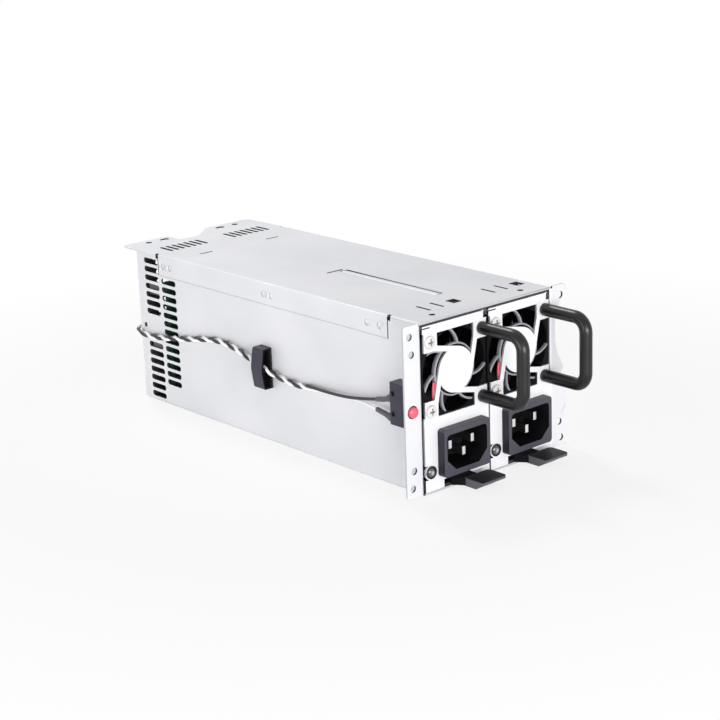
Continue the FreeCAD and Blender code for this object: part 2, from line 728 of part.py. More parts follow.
def top_cover():
    """Top sheet with side flaps over the walls, rear mounting tabs and vents."""
    sheet = prism(cover_outline(), in_xy(COVER_UNDER), (0, 0, SHEET))
    flap = box((-WALL_OUT, -WALL_IN), (FLAP_START, FLAP_END), (FLAP_LOW, CAGE_HEIGHT))
    height = CAGE_HEIGHT - WELD_BELOW_TOP
    dimples = [rod(WELD_RADIUS, (-WALL_OUT - SHEET, y, height), (SHEET + WELD_DEPTH, 0, 0))
               for y in weld_places()]
    flap = flap.cut(dimples)
    body = fused([sheet, flap, mirrored(flap)])
    edges = [edge for edge in body.Edges if edge.Length > FLAP_END - FLAP_START - 1
             and abs(abs(edge.CenterOfMass.x) - WALL_OUT) < 1e-3
             and abs(edge.CenterOfMass.z - CAGE_HEIGHT) < 1e-3]
    body = body.makeFillet(0.6 * SHEET, edges)
    step = box((-CAGE_WIDTH, CAGE_WIDTH), (REAR + SHEET, REAR + 2 * TAB_REACH),
               (CAGE_HEIGHT - TAB_STEP_DOWN, CAGE_HEIGHT + SHEET))
    reliefs = flap_reliefs()
    return body.cut(cover_cutters() + [step] + reliefs + [mirrored(cut) for cut in reliefs])


def centre_divider():
    """Upright sheet between the bays, flanged at the top and tabbed into the floor."""
    top = COVER_UNDER
    span = divider_ends()
    web = box(around(0, DIVIDER_SHEET), span, (SHEET, top))
    flange = box((-DIVIDER_FLANGE - DIVIDER_SHEET, DIVIDER_FLANGE), span, (top - DIVIDER_SHEET, top))
    tabs = [box(around(0, DIVIDER_SHEET), (start, start + DIVIDER_TAB_LENGTH), (SHEET / 4, SHEET))
            for start in divider_tab_starts()]
    return fused([web, flange, *tabs])


def rear_panel():
    """Rear wall with side flanges, vents, the output opening and a notch for the leads."""
    face = REAR - PANEL_INSET - SHEET
    corners = [(-WALL_IN, SHEET, PANEL_CORNER), (WALL_IN, SHEET, PANEL_CORNER), (WALL_IN, COVER_UNDER),
               (-WALL_IN, COVER_UNDER)]
    plate = prism(corners, in_xz(face), (0, SHEET, 0))
    flanges = []
    for side in BOTH:
        x = sorted((side * WALL_IN, side * (WALL_IN - SHEET)))
        flanges.append(box(x, (face + SHEET, face + SHEET + PANEL_FLANGE), (2 * SHEET, COVER_UNDER - SHEET)))
    outlet = prism(rectangle(around(OUTLET_X, OUTLET_WIDTH), around(OUTLET_Z, OUTLET_HEIGHT), OUTLET_CORNER),
                   in_xz(face - SHEET), (0, 3 * SHEET, 0))
    cutters = [outlet]
    for side in BOTH:
        for index in range(PANEL_SLOT_COUNT):
            centre = (side * BAY_CENTRE, PANEL_SLOT_LOW + index * PANEL_SLOT_PITCH)
            vent = slot(centre, PANEL_SLOT_LENGTH, PANEL_SLOT_WIDTH)
            cutters.append(prism(vent, in_xz(face - SHEET), (0, 3 * SHEET, 0)))
    cutters.append(box((-WALL_IN - SHEET, -WALL_IN + LEAD_NOTCH_DEPTH), (face - SHEET, REAR),
                       (LEAD_NOTCH_LOW, LEAD_NOTCH_HIGH)))
    return fused([plate, *flanges]).cut(cutters)


# ---- backplane --------------------------------------------------------------------------------
def backplane_board():
    """Upright circuit board behind the modules."""
    board = box((-BACKPLANE_HALF, BACKPLANE_HALF), (BACKPLANE_FACE, BACKPLANE_BACK),
                (BACKPLANE_BOTTOM, BACKPLANE_TOP))
    return board.cut(board_screw_bores())


def board_screw_bores():
    """Cutters for the screws through the board and its bracket."""
    return [rod(SCREW_RADIUS + BORE_FIT, (side * BOARD_SCREW_X, BACKPLANE_FACE - BOARD, z), (0, 3 * BOARD, 0))
            for side in BOTH for z in BOARD_SCREW_Z]


def backplane_bracket():
    """Sheet bridge from wall to wall that carries the backplane board."""
    y = BACKPLANE_BACK
    rails = []
    for z in BOARD_SCREW_Z:
        strips = [box((-WALL_IN, WALL_IN), (y, y + BRACKET_SHEET), around(z, BRACKET_HEIGHT))]
        for side in BOTH:
            x = sorted((side * WALL_IN, side * (WALL_IN - BRACKET_SHEET)))
            strips.append(box(x, (y, y + BRACKET_LEG), around(z, BRACKET_HEIGHT)))
        rails.append(fused(strips).cut(board_screw_bores()))
    return Part.makeCompound(rails)


def board_screws():
    """Four screws that hold the board to its bracket."""
    reach = BOARD + 2 * BRACKET_SHEET
    return Part.makeCompound([pan_head_screw((side * BOARD_SCREW_X, BACKPLANE_FACE, z), (0, 1, 0), reach)
                              for side in BOTH for z in BOARD_SCREW_Z])


def card_edge_sockets():
    """Two sockets on the backplane that take the modules' board edges."""
    back = BACKPLANE_FACE
    sockets = []
    for side in BOTH:
        centre = side * BAY_CENTRE
        middle = MAIN_BOARD_Z + BOARD / 2
        body = box(around(centre, SOCKET_WIDTH), (back - SOCKET_DEPTH, back), around(middle, SOCKET_HEIGHT))
        mouth = box(around(centre, EDGE_TONGUE_WIDTH + 4 * SOCKET_SLOT_CLEAR),
                    (back - SOCKET_DEPTH, back - SOCKET_DEPTH + SOCKET_SLOT_DEPTH),
                    around(middle, BOARD + 2 * SOCKET_SLOT_CLEAR))
        sockets.append(body.cut(mouth))
    return Part.makeCompound(sockets)


def output_terminals():
    """Row of screw terminals on the rear of the backplane."""
    y = BACKPLANE_BACK
    blocks = []
    for index in range(TERMINAL_COUNT):
        x = (index - (TERMINAL_COUNT - 1) / 2) * TERMINAL_PITCH
        block = box(around(x, TERMINAL_WIDTH), (y, y + TERMINAL_DEPTH), around(TERMINAL_Z, TERMINAL_WIDTH))
        hole = rod(TERMINAL_SCREW_RADIUS, (x, y + TERMINAL_DEPTH / 2, TERMINAL_Z), (0, TERMINAL_DEPTH, 0))
        blocks.append(block.cut(hole))
    return Part.makeCompound(blocks)


def alarm_buzzer():
    """Round alarm buzzer on the rear of the backplane."""
    y = BACKPLANE_BACK
    body = rod(BUZZER_RADIUS, (BUZZER_X, y, BUZZER_Z), (0, BUZZER_DEPTH, 0))
    return body.cut(rod(BUZZER_PORT_RADIUS, (BUZZER_X, y + BUZZER_DEPTH / 2, BUZZER_Z), (0, BUZZER_DEPTH, 0)))


def lead_header():
    """Two-way header on the backplane where the switch leads end."""
    y = BACKPLANE_BACK
    return box(around(HEADER_X, HEADER_WIDTH), (y, y + HEADER_DEPTH), around(HEADER_Z, HEADER_HEIGHT))


# ---- mute switch and its leads ----------------------------------------------------------------
def switch_body():
    """Moulded switch case behind the left flange, with two cross holes and the plunger bore."""
    x = around(-WALL_OUT - SWITCH_OUT, SWITCH_WIDTH)
    y = (FRONT + SHEET, FRONT + SHEET + SWITCH_DEPTH)
    case = box(x, y, around(SWITCH_Z, SWITCH_HEIGHT))
    hole_y = FRONT + SHEET + SWITCH_HOLE_DEPTH
    cutters = [rod(SWITCH_HOLE_RADIUS, (x[0] - SHEET, hole_y, SWITCH_Z + side * SWITCH_HOLE_PITCH / 2),
                   (SWITCH_WIDTH + 2 * SHEET, 0, 0)) for side in BOTH]
    mouth = (-WALL_OUT - SWITCH_OUT, y[0], BUTTON_Z)
    depth = BUTTON_TRAVEL + BUTTON_CLEARANCE
    cutters.append(rod(PLUNGER_RADIUS + BORE_FIT, mouth, (0, PLUNGER_DEPTH + depth, 0)))
    cutters.append(rod(BUTTON_RADIUS + BUTTON_CLEARANCE, mouth, (0, depth, 0)))
    return case.cut(cutters)


def alarm_button():
    """Red push button with its plunger."""
    x = -WALL_OUT - SWITCH_OUT
    start = FRONT - BUTTON_PROUD
    cap = rod(BUTTON_RADIUS, (x, start, BUTTON_Z), (0, BUTTON_PROUD + SHEET, 0))
    rim = [edge for edge in cap.Edges if edge.Closed and abs(edge.CenterOfMass.y - start) < 1e-6]
    cap = cap.makeFillet(BUTTON_RADIUS / 4, rim)
    return fused([cap, rod(PLUNGER_RADIUS, (x, FRONT, BUTTON_Z), (0, SHEET + PLUNGER_DEPTH, 0))])


def blade_root(which):
    """Point where one solder blade leaves the switch case."""
    return V(-WALL_OUT - SWITCH_OUT, FRONT + SHEET + SWITCH_DEPTH, SWITCH_Z + BLADE_OFFSETS[which])


def blade(which):
    """Solder blade at the rear of the switch."""
    root = blade_root(which)
    return box(around(root.x, BLADE_THICK), (root.y, root.y + BLADE_LONG), around(root.z, BLADE_WIDE))


def switch_terminals():
    """Two solder blades at the rear of the switch."""
    return Part.makeCompound([blade(which) for which in BLADE_OFFSETS])


def sleeve_axis(which):
    """Start of one shrink sleeve and its push to the end where the lead comes out."""
    return blade_root(which) + V(0, SLEEVE_GAP, 0), V(0, SLEEVE_REACH, SLEEVE_RISE[which])


def terminal_sleeves():
    """Shrink sleeves over the soldered joints, flattened on the blades and then round."""
    sleeves = []
    for which in BLADE_OFFSETS:
        start, push = sleeve_axis(which)
        z = around(start.z, BLADE_WIDE + 2 * SLEEVE_FLAT_MARGIN)
        flat = rectangle(around(start.x, SLEEVE_FLAT_WIDTH), z, SLEEVE_FLAT_WIDTH / 2 - SLEEVE_FLAT_MARGIN / 4)
        pieces = [prism(flat, in_xz(start.y), (0, SLEEVE_FLAT_LENGTH, 0)), rod(SLEEVE_RADIUS, start, push)]
        sleeves.append(fused(pieces).cut(blade(which)))
    return Part.makeCompound(sleeves)


def clip_pad():
    """Adhesive pad under the lead clip."""
    x = (-WALL_OUT - PAD_THICKNESS, -WALL_OUT)
    return box(x, around(FRONT + CLIP_Y, CLIP_LENGTH), around(CLIP_Z, CLIP_HEIGHT))


def cable_clip():
    """Bowed clip on the pad, open at both ends for the leads."""
    base = -WALL_OUT - PAD_THICKNESS
    low, high = around(CLIP_Z, CLIP_HEIGHT)
    face = base - CLIP_DEPTH
    side = face + CLIP_BOW
    outer = [(base, low), (base, high), (side, high, CLIP_CORNER), (face, CLIP_Z, CLIP_BOW_RADIUS),
             (side, low, CLIP_CORNER)]
    wall = CLIP_WALL
    inner = [(base - wall, low + wall), (base - wall, high - wall), (side + wall, high - wall, CLIP_CORNER / 2),
             (face + wall, CLIP_Z, CLIP_BOW_RADIUS - wall), (side + wall, low + wall, CLIP_CORNER / 2)]
    start = FRONT + CLIP_Y - CLIP_LENGTH / 2
    shell = prism(outer, in_xz(start), (0, CLIP_LENGTH, 0))
    return shell.cut(prism(inner, in_xz(start - wall), (0, CLIP_LENGTH + 2 * wall, 0)))


# Route of the lead pair as (x, y, z): out of the header, round the wall's rear edge, along the wall
# and through the clip.  Then the two leads part on their way to the switch.
PAIR_ROUTE = [
    (-33.8, 102.0, 38.0), (-33.7, 109.3, 37.9), (-36.6, 112.2, 37.5), (-40.9, 112.2, 37.1),
    (-43.8, 109.3, 36.7), (-43.9, 102.0, 36.2), (-43.6, 94.7, 35.9), (-43.6, 80.8, 37.8), (-43.6, 63.2, 40.7),
    (-43.6, 45.3, 44.3), (-43.6, 31.3, 45.0), (-43.8, 17.7, 42.4), (-44.9, 2.0, 38.6), (-43.9, -10.2, 35.8),
    (-43.7, -22.2, 34.7),
]
SPLIT_ROUTES = {
    "upper": [(-44.4, -35.2, 36.4), (-45.6, -49.2, 37.0), (-46.5, -63.7, 38.2)],
    "lower": [(-43.1, -35.2, 35.0), (-43.4, -49.2, 36.3), (-44.5, -63.7, 37.6)],
}


def lead(which, name):
    """One lead of the pair, a step above or below the shared route, to its switch sleeve."""
    rise = V(0, 0, LEAD_SPACING / 2 if which == "upper" else -LEAD_SPACING / 2)
    header = V(HEADER_X, BACKPLANE_BACK + HEADER_DEPTH, HEADER_Z)
    start, push = sleeve_axis(which)
    end = start + push
    tail = end + V(push).normalize() * LEAD_TAIL
    points = [header + rise] + [V(*spot) + rise for spot in PAIR_ROUTE]
    return cord(name, points + [V(*spot) for spot in SPLIT_ROUTES[which]] + [tail, end], LEAD_RADIUS)


# ---- module sheet metal -----------------------------------------------------------------------
def guard_openings(margin):
    """Fan openings of the front plate: a cross of windows less the disc and its four sweeping arms."""
    wide = MODULE_HALF + margin
    y = (0, 3 * PLATE)
    cross = fused([box((-GUARD_TAB, GUARD_TAB), y, (-GUARD_REACH, GUARD_REACH)),
                   box((-wide, wide), y, (-GUARD_TAB, GUARD_TAB))])
    disc = rod(GUARD_DISC_RADIUS, (0, 0, 0), (0, 3 * PLATE, 0))
    root = V(-GUARD_TAB, GUARD_TAB + GUARD_ARM_ROOT, 0)
    turn = math.atan2(root.y, root.x) - math.acos(GUARD_DISC_RADIUS / root.Length)
    touch = V(math.cos(turn), math.sin(turn), 0) * GUARD_DISC_RADIUS
    along = (touch - root).normalize()
    inward = V(along.y, -along.x, 0)
    start = root - along * GUARD_ARM * 3
    width = inward * GUARD_ARM
    corners = [(spot.x, spot.y) for spot in (start, touch, touch + width, start + width)]
    arm = prism(corners, in_xz(0), (0, 3 * PLATE, 0))
    arms = []
    for quarter in range(4):
        turned = arm.copy()
        turned.rotate(V(0, 0, 0), V(0, 1, 0), 90 * quarter)
        arms.append(turned)
    openings = cross.cut([disc, *arms])
    openings.translate(V(0, PLATE_FACE - PLATE, FAN_Z))
    return openings


def front_plate():
    """Module front with the fan guard, inlet window, lamp eye, latch opening and screw holes."""
    y = (PLATE_FACE - PLATE, PLATE_BACK + PLATE)
    plate = box((-MODULE_HALF, MODULE_HALF), (PLATE_FACE, PLATE_BACK), (MODULE_BOTTOM, MODULE_TOP))
    body_half = CAVITY_WIDTH / 2 + INLET_WALL + INLET_FIT
    body_rise = CAVITY_HEIGHT / 2 + INLET_WALL + INLET_FIT
    cutters = [guard_openings(1.0),
               box((INLET_X - body_half, INLET_X + body_half), y, (INLET_Z - body_rise, INLET_Z + body_rise)),
               box((LATCH_OPENING_LEFT, LATCH_OPENING_RIGHT), y, (0, LATCH_OPENING_TOP))]
    window = box((-MODULE_HALF - 1, -MODULE_HALF + LAMP_WINDOW_DEPTH), y, around(LAMP_Z, LAMP_WINDOW_HEIGHT))
    eye = rod(LAMP_EYE_RADIUS, (LAMP_X, y[0], LAMP_Z), (0, y[1] - y[0], 0))
    cutters.append(window.cut(eye))
    cutters.append(rod(LAMP_LENS_RADIUS + LAMP_RING, (LAMP_X, y[0], LAMP_Z), (0, y[1] - y[0], 0)))
    relief = (FAN_Z - GUARD_REACH + EDGE_RELIEF_OVER_TAB, FAN_Z + GUARD_REACH + EDGE_RELIEF_OVER_TAB)
    for side in BOTH:
        x = sorted((side * (MODULE_HALF - EDGE_RELIEF), side * (MODULE_HALF + 1)))
        cutters.append(box(x, y, relief))
        for end in BOTH:
            bore_start = (side * FAN_HOLE, y[0], FAN_Z + end * FAN_HOLE)
            cutters.append(rod(SCREW_RADIUS + BORE_FIT, bore_start, (0, y[1] - y[0], 0)))
    hem = around(MODULE_TOP - HEM_SLIT_BELOW_TOP, HEM_SLIT_WIDTH)
    cutters.append(box((-MODULE_HALF - 1, -MODULE_HALF + HEM_SLIT_LENGTH), y, hem))
    ear_low = FAN_Z + FAN_SIZE / 2 + EAR_ABOVE_FAN - EAR_GAP
    cutters.append(box((CASE_HALF - CASE_SHEET - EAR_GAP, MODULE_HALF + 1), y, (ear_low, MODULE_TOP + 1)))
    return plate.cut(cutters)


def module_case():
    """Channel with floor, sides and rear wall, open to the fan at the front."""
    sides = box((-CASE_HALF, CASE_HALF), (PLATE_BACK, CASE_REAR), (MODULE_BOTTOM, MODULE_TOP - CASE_SHEET))
    hollow = box((-CASE_HALF + CASE_SHEET, CASE_HALF - CASE_SHEET), (PLATE_BACK - 1, CASE_REAR - CASE_SHEET),
                 (CASE_FLOOR, MODULE_TOP))
    wide = (-CASE_HALF - 1, CASE_HALF + 1)
    fan_end = FAN_BACK + SCREW_HEAD_HEIGHT + RUNNING_GAP
    fan_room = box(wide, (PLATE_BACK - 1, fan_end), around(FAN_Z, FAN_SIZE + 2 * RUNNING_GAP))
    inlet_end = BEZEL_FACE + CAVITY_DEPTH + INLET_BACK + RUNNING_GAP
    inlet_room = box(around(INLET_X, CAVITY_WIDTH + 2 * (INLET_WALL + RUNNING_GAP)), (PLATE_BACK - 1, inlet_end),
                     around(INLET_Z, CAVITY_HEIGHT + 2 * (INLET_WALL + RUNNING_GAP)))
    lamp_room = box((-CASE_HALF - 1, LAMP_X + LAMP_LENS_RADIUS + LAMP_RING + RUNNING_GAP),
                    (PLATE_BACK - 1, PLATE_BACK + LAMP_WINDOW_ROOM),
                    around(LAMP_Z, LAMP_WINDOW_HEIGHT + 2 * RUNNING_GAP))
    rear = (CASE_REAR - 2 * CASE_SHEET, CASE_REAR + CASE_SHEET)
    card_slot = box(around(0, EDGE_TONGUE_WIDTH + 2 * CARD_SLOT_SIDE_GAP), rear,
                    around(MAIN_BOARD_Z + BOARD / 2, BOARD + 2 * CARD_SLOT_FACE_GAP))
    reach = TOOTH_WIDTH / 2 + CATCH_CLEARANCE
    tooth_room = box((latch_middle() - reach - latch_swing(TOOTH_Y), latch_middle() + reach),
                     around(FRONT + TOOTH_Y, TOOTH_LENGTH + 2 * CATCH_CLEARANCE), (0, CASE_FLOOR + SHEET))
    pivot = (latch_middle(), FRONT + LATCH_PIVOT_Y, 0)
    cutters = [hollow, fan_room, inlet_room, lamp_room, card_slot, tooth_room,
               rod(LATCH_PIN_RADIUS, pivot, (0, 0, CASE_FLOOR + SHEET))]
    for index in range(CASE_VENT_COUNT):
        vent = slot((0, CASE_VENT_START + index * CASE_VENT_PITCH), CASE_VENT_LENGTH, CASE_VENT_WIDTH)
        cutters.append(prism(vent, in_xz(rear[0]), (0, rear[1] - rear[0], 0)))
    ear = box((CASE_HALF - CASE_SHEET, MODULE_HALF), (PLATE_BACK, PLATE_BACK + CASE_SHEET),
              (FAN_Z + FAN_SIZE / 2 + EAR_ABOVE_FAN, MODULE_TOP - CASE_SHEET))
    return fused([sides.cut(cutters), ear])


def module_cover():
    """Flat lid of a module."""
    return box((-CASE_HALF, CASE_HALF), (PLATE_BACK, CASE_REAR), (MODULE_TOP - CASE_SHEET, MODULE_TOP))


# ---- fan --------------------------------------------------------------------------------------
def fan_frame():
    """Square fan frame with a round bore, a motor seat and five curved struts."""
    y = PLATE_BACK
    square = rectangle(around(0, FAN_SIZE), around(FAN_Z, FAN_SIZE), FAN_CORNER)
    block = prism(square, in_xz(y), (0, FAN_DEPTH, 0))
    cutters = [rod(FAN_BORE_RADIUS, (0, y - 1, FAN_Z), (0, FAN_DEPTH + 2, 0))]
    for side in BOTH:
        for end in BOTH:
            start = (side * FAN_HOLE, y - 1, FAN_Z + end * FAN_HOLE)
            cutters.append(rod(FAN_HOLE_RADIUS, start, (0, FAN_DEPTH + 2, 0)))
    shell = block.cut(cutters)
    seat = rod(FAN_HUB_RADIUS, (0, y, FAN_Z), (0, FAN_HUB_DEPTH, 0))
    struts = [fan_strut(FULL_TURN * index / STRUT_COUNT + STRUT_START) for index in range(STRUT_COUNT)]
    body = fused([shell, seat, *struts])
    return body.cut(rod(SHAFT_RADIUS + SHAFT_FIT, (0, y + FAN_HUB_DEPTH / 3, FAN_Z), (0, FAN_HUB_DEPTH, 0)))


def fan_strut(turn):
    """Curved strut from the motor seat to the bore, as a band between two arcs."""
    def spot(radius, degrees, y=PLATE_BACK):
        angle = math.radians(turn + degrees)
        return V(radius * math.cos(angle), y, FAN_Z + radius * math.sin(angle))
    inner, outer = FAN_HUB_RADIUS - STRUT_WIDTH / 2, FAN_BORE_RADIUS + STRUT_WIDTH / 2
    middle = (inner + outer) / 2
    lean = STRUT_BELLY
    wide_in, wide_out = math.degrees(STRUT_WIDTH / inner), math.degrees(STRUT_WIDTH / outer)
    wide = (wide_in + wide_out) / 2
    edges = [Part.Arc(spot(inner, 0), spot(middle, lean), spot(outer, STRUT_SWEEP)).toShape(),
             Part.makeLine(spot(outer, STRUT_SWEEP), spot(outer, STRUT_SWEEP + wide_out)),
             Part.Arc(spot(outer, STRUT_SWEEP + wide_out), spot(middle, lean + wide),
                      spot(inner, wide_in)).toShape(),
             Part.makeLine(spot(inner, wide_in), spot(inner, 0))]
    return Part.Face(Part.Wire(edges)).extrude(V(0, STRUT_DEPTH, 0))


def fan_rotor():
    """Hub, shaft and seven twisted blades."""
    start = HUB_BACK + ROTOR_GAP
    hub = rod(ROTOR_RADIUS, (0, start, FAN_Z), (0, ROTOR_DEPTH, 0))
    shaft = rod(SHAFT_RADIUS, (0, PLATE_BACK + FAN_HUB_DEPTH / 2, FAN_Z), (0, FAN_HUB_DEPTH, 0))
    root, tip = ROTOR_RADIUS - BLADE_SINK, FAN_BORE_RADIUS - BLADE_CLEARANCE
    sections = []
    for radius, pitch in ((root, BLADE_ROOT_PITCH), (tip, BLADE_TIP_PITCH)):
        lean = math.radians(pitch)
        along = V(math.cos(lean), math.sin(lean), 0) * BLADE_HALF_CHORD
        across = V(-math.sin(lean), math.cos(lean), 0) * BLADE_THICKNESS / 2
        middle = V(0, start + ROTOR_DEPTH / 2, FAN_Z + radius)
        corners = [middle + along + across, middle - along + across, middle - along - across,
                   middle + along - across]
        sections.append(Part.makePolygon(corners + corners[:1]))
    room = ring(tip, root, (0, start + BLADE_EDGE_GAP, FAN_Z), (0, ROTOR_DEPTH - 2 * BLADE_EDGE_GAP, 0))
    blade = Part.makeLoft(sections, True, True).common(room)
    blades = []
    for index in range(BLADE_COUNT):
        turned = blade.copy()
        turned.rotate(V(0, 0, FAN_Z), V(0, 1, 0), FULL_TURN * index / BLADE_COUNT)
        blades.append(turned)
    return fused([hub, shaft, *blades])


def fan_lead():
    """Lead from the motor seat to the bore's wall, in front of the blades."""
    y = PLATE_BACK + FAN_LEAD_RADIUS
    return cord("fan_lead", [(x, y, FAN_Z + z) for x, z in FAN_LEAD_ROUTE], FAN_LEAD_RADIUS)


def fan_screws():
    """Two crossed screws at the guard's left tabs and two behind the fan that hold the handle."""
    screws = []
    for end in BOTH:
        z = FAN_Z + end * FAN_HOLE
        screws.append(pan_head_screw((-FAN_HOLE, PLATE_FACE, z), (0, 1, 0), PLATE + FAN_DEPTH / 2))
        reach = FAN_DEPTH + PLATE + SCREW_GRIP
        screws.append(pan_head_screw((FAN_HOLE, FAN_BACK, z), (0, -1, 0), reach))
    return Part.makeCompound(screws)


def handle():
    """Round bar bent to a U, tapped at both ends for the screws behind the fan."""
    bar = PLATE_FACE - HANDLE_REACH
    ends = around(FAN_Z, FAN_HOLE_PITCH)
    points = [(FAN_HOLE, PLATE_FACE, ends[0]), (FAN_HOLE, bar, ends[0]), (FAN_HOLE, bar, ends[1]),
              (FAN_HOLE, PLATE_FACE, ends[1])]
    depth = (0, -SCREW_GRIP - SCREW_RADIUS, 0)
    bores = [rod(SCREW_RADIUS + BORE_FIT, (FAN_HOLE, PLATE_FACE, z), depth) for z in ends]
    return tube(points, HANDLE_RADIUS, HANDLE_BEND).cut(bores)


# ---- inlet and lamp ---------------------------------------------------------------------------
def cavity_corners(grow=0.0):
    """Inlet opening: rounded above and cut off at both lower corners."""
    x = around(INLET_X, CAVITY_WIDTH + 2 * grow)
    z = around(INLET_Z, CAVITY_HEIGHT + 2 * grow)
    cut = CAVITY_CHAMFER
    return [(x[0] + cut, z[0]), (x[1] - cut, z[0]), (x[1], z[0] + cut), (x[1], z[1], CAVITY_CORNER),
            (x[0], z[1], CAVITY_CORNER), (x[0], z[0] + cut)]


def inlet_housing():
    """Moulded inlet: a bezel on the plate and a box behind it around the pin cavity."""
    bezel = prism(rectangle(around(INLET_X, BEZEL_WIDTH), around(INLET_Z, BEZEL_HEIGHT), BEZEL_CORNER),
                  in_xz(BEZEL_FACE), (0, BEZEL_DEPTH, 0))
    depth = CAVITY_DEPTH + INLET_BACK
    block = box(around(INLET_X, CAVITY_WIDTH + 2 * INLET_WALL), (PLATE_FACE, BEZEL_FACE + depth),
                around(INLET_Z, CAVITY_HEIGHT + 2 * INLET_WALL))
    body = fused([bezel, block])
    cavity = prism(cavity_corners(), in_xz(BEZEL_FACE - 1), (0, CAVITY_DEPTH + 1, 0))
    slots = [box(around(x, PIN_WIDTH), (BEZEL_FACE, BEZEL_FACE + depth + 1), around(z, PIN_HEIGHT))
             for x, z, recess in pin_places()]
    return body.cut([cavity, *slots])


def pin_places():
    """Centre of each inlet pin and how far its tip lies behind the bezel."""
    half = PIN_SPACING / 2
    return [(INLET_X - half, INLET_Z + PIN_RISE, PIN_RECESS), (INLET_X + half, INLET_Z + PIN_RISE, PIN_RECESS),
            (INLET_X, INLET_Z - EARTH_DROP, EARTH_RECESS)]


def inlet_pins():
    """Three blades that reach from the cavity to solder tails behind the housing."""
    end = BEZEL_FACE + CAVITY_DEPTH + INLET_BACK + PIN_TAIL
    return Part.makeCompound([box(around(x, PIN_WIDTH), (BEZEL_FACE + recess, end), around(z, PIN_HEIGHT))
                              for x, z, recess in pin_places()])


def lamp_holder():
    """Round holder of the status lamp, flanged in front of the plate."""
    start = PLATE_FACE - LAMP_RING_PROUD
    outer = LAMP_LENS_RADIUS + LAMP_RING
    return ring(outer, LAMP_LENS_RADIUS, (LAMP_X, start, LAMP_Z), (0, LAMP_DEPTH, 0))


def status_lamp():
    """Clear lamp with a domed tip."""
    start = PLATE_FACE - LAMP_LENS_PROUD
    body = rod(LAMP_LENS_RADIUS, (LAMP_X, start, LAMP_Z), (0, LAMP_DEPTH, 0))
    rim = [edge for edge in body.Edges if edge.Closed and abs(edge.CenterOfMass.y - start) < 1e-6]
    return body.makeFillet(LAMP_LENS_RADIUS * 0.45, rim)


# ---- latch ------------------------------------------------------------------------------------
def latch_middle():
    """Middle of the latch neck, which is also its pivot, from the module's middle."""
    return (LATCH_NECK_LEFT + LATCH_OPENING_RIGHT - LATCH_SIDE_GAP) / 2


def latch_swing(y):
    """How far the latch moves sideways at a distance behind the front, at the end of its travel."""
    travel = LATCH_NECK_LEFT - LATCH_OPENING_LEFT
    return travel * (LATCH_PIVOT_Y - y) / LATCH_PIVOT_Y


def latch_lever():
    """Flat lever on an upright pivot, with a tooth below and a thumb paddle in front."""
    low = CASE_FLOOR + LATCH_FLOOR_GAP
    high = low + LATCH_THICKNESS
    middle = latch_middle()
    right = LATCH_OPENING_RIGHT - LATCH_SIDE_GAP
    pivot_y = FRONT + LATCH_PIVOT_Y
    start, end = FRONT - NECK_FRONT, FRONT - PADDLE_BACK - NECK_FRONT
    neck = [(LATCH_NECK_LEFT, start), (right, start), (right, pivot_y, NECK_CORNER),
            (LATCH_NECK_LEFT, pivot_y, NECK_CORNER)]
    taper = [(LATCH_NECK_LEFT, start), (PADDLE_LEFT, end), (right, end), (right, start)]
    under = PADDLE_BOTTOM + NECK_LIFT
    pieces = [prism(neck, in_xy(low), (0, 0, high - low)),
              prism(taper, in_xy(under), (0, 0, high - under)),
              rod(LATCH_BOSS_RADIUS, (middle, pivot_y, low), (0, 0, high - low)),
              paddle()]
    front, rear = around(FRONT + TOOTH_Y, TOOTH_LENGTH)
    tooth = [(front, high), (rear, high), (rear, MODULE_BOTTOM + TOOTH_RAMP), (FRONT + TOOTH_Y, MODULE_BOTTOM),
             (front, MODULE_BOTTOM)]
    pieces.append(prism(tooth, in_yz(middle - TOOTH_WIDTH / 2), (TOOTH_WIDTH, 0, 0)))
    bore = rod(LATCH_PIN_RADIUS + BORE_FIT, (middle, pivot_y, 0), (0, 0, 2 * high))
    return fused(pieces).cut(bore)


def paddle():
    """Thumb paddle with a leaning front, hollowed under its right side."""
    back, front = FRONT - PADDLE_BACK, FRONT - PADDLE_FRONT
    side = [(back, PADDLE_BOTTOM), (back, PADDLE_TOP), (front, PADDLE_TOP), (front, PADDLE_TOP - PADDLE_LIP),
            (front + PADDLE_UNDERCUT, PADDLE_BOTTOM)]
    block = prism(side, in_yz(PADDLE_LEFT), (PADDLE_RIGHT - PADDLE_LEFT, 0, 0))
    plan = [(PADDLE_LEFT, back), (PADDLE_RIGHT, back, PADDLE_CORNER), (PADDLE_RIGHT, front, PADDLE_CORNER),
            (PADDLE_LEFT, front, PADDLE_CORNER / 3)]
    block = block.common(prism(plan, in_xy(0), (0, 0, 2 * PADDLE_TOP)))
    hollow = box((PADDLE_RIGHT - PADDLE_HOLLOW, PADDLE_RIGHT + 1), (front - 1, back + 1),
                 (0, PADDLE_TOP - 2 * PADDLE_LIP))
    return block.cut(hollow)


def latch_pin():
    """Headed rivet in the case floor on which the latch turns."""
    y = FRONT + LATCH_PIVOT_Y
    top = CASE_FLOOR + LATCH_FLOOR_GAP + LATCH_THICKNESS + LATCH_SPRING_HEIGHT + 2 * LATCH_SPRING_GAP
    shank = rod(LATCH_PIN_RADIUS, (latch_middle(), y, MODULE_BOTTOM), (0, 0, top - MODULE_BOTTOM))
    head = rod(LATCH_PIN_HEAD, (latch_middle(), y, top), (0, 0, LATCH_PIN_HEAD_HEIGHT))
    return fused([shank, head])


def latch_spring():
    """Closed coils of the return spring round the rivet, above the lever."""
    low = CASE_FLOOR + LATCH_FLOOR_GAP + LATCH_THICKNESS + LATCH_SPRING_GAP
    inner = LATCH_PIN_RADIUS + BORE_FIT
    seat = (latch_middle(), FRONT + LATCH_PIVOT_Y, low)
    return ring(inner + LATCH_SPRING_WALL, inner, seat, (0, 0, LATCH_SPRING_HEIGHT))


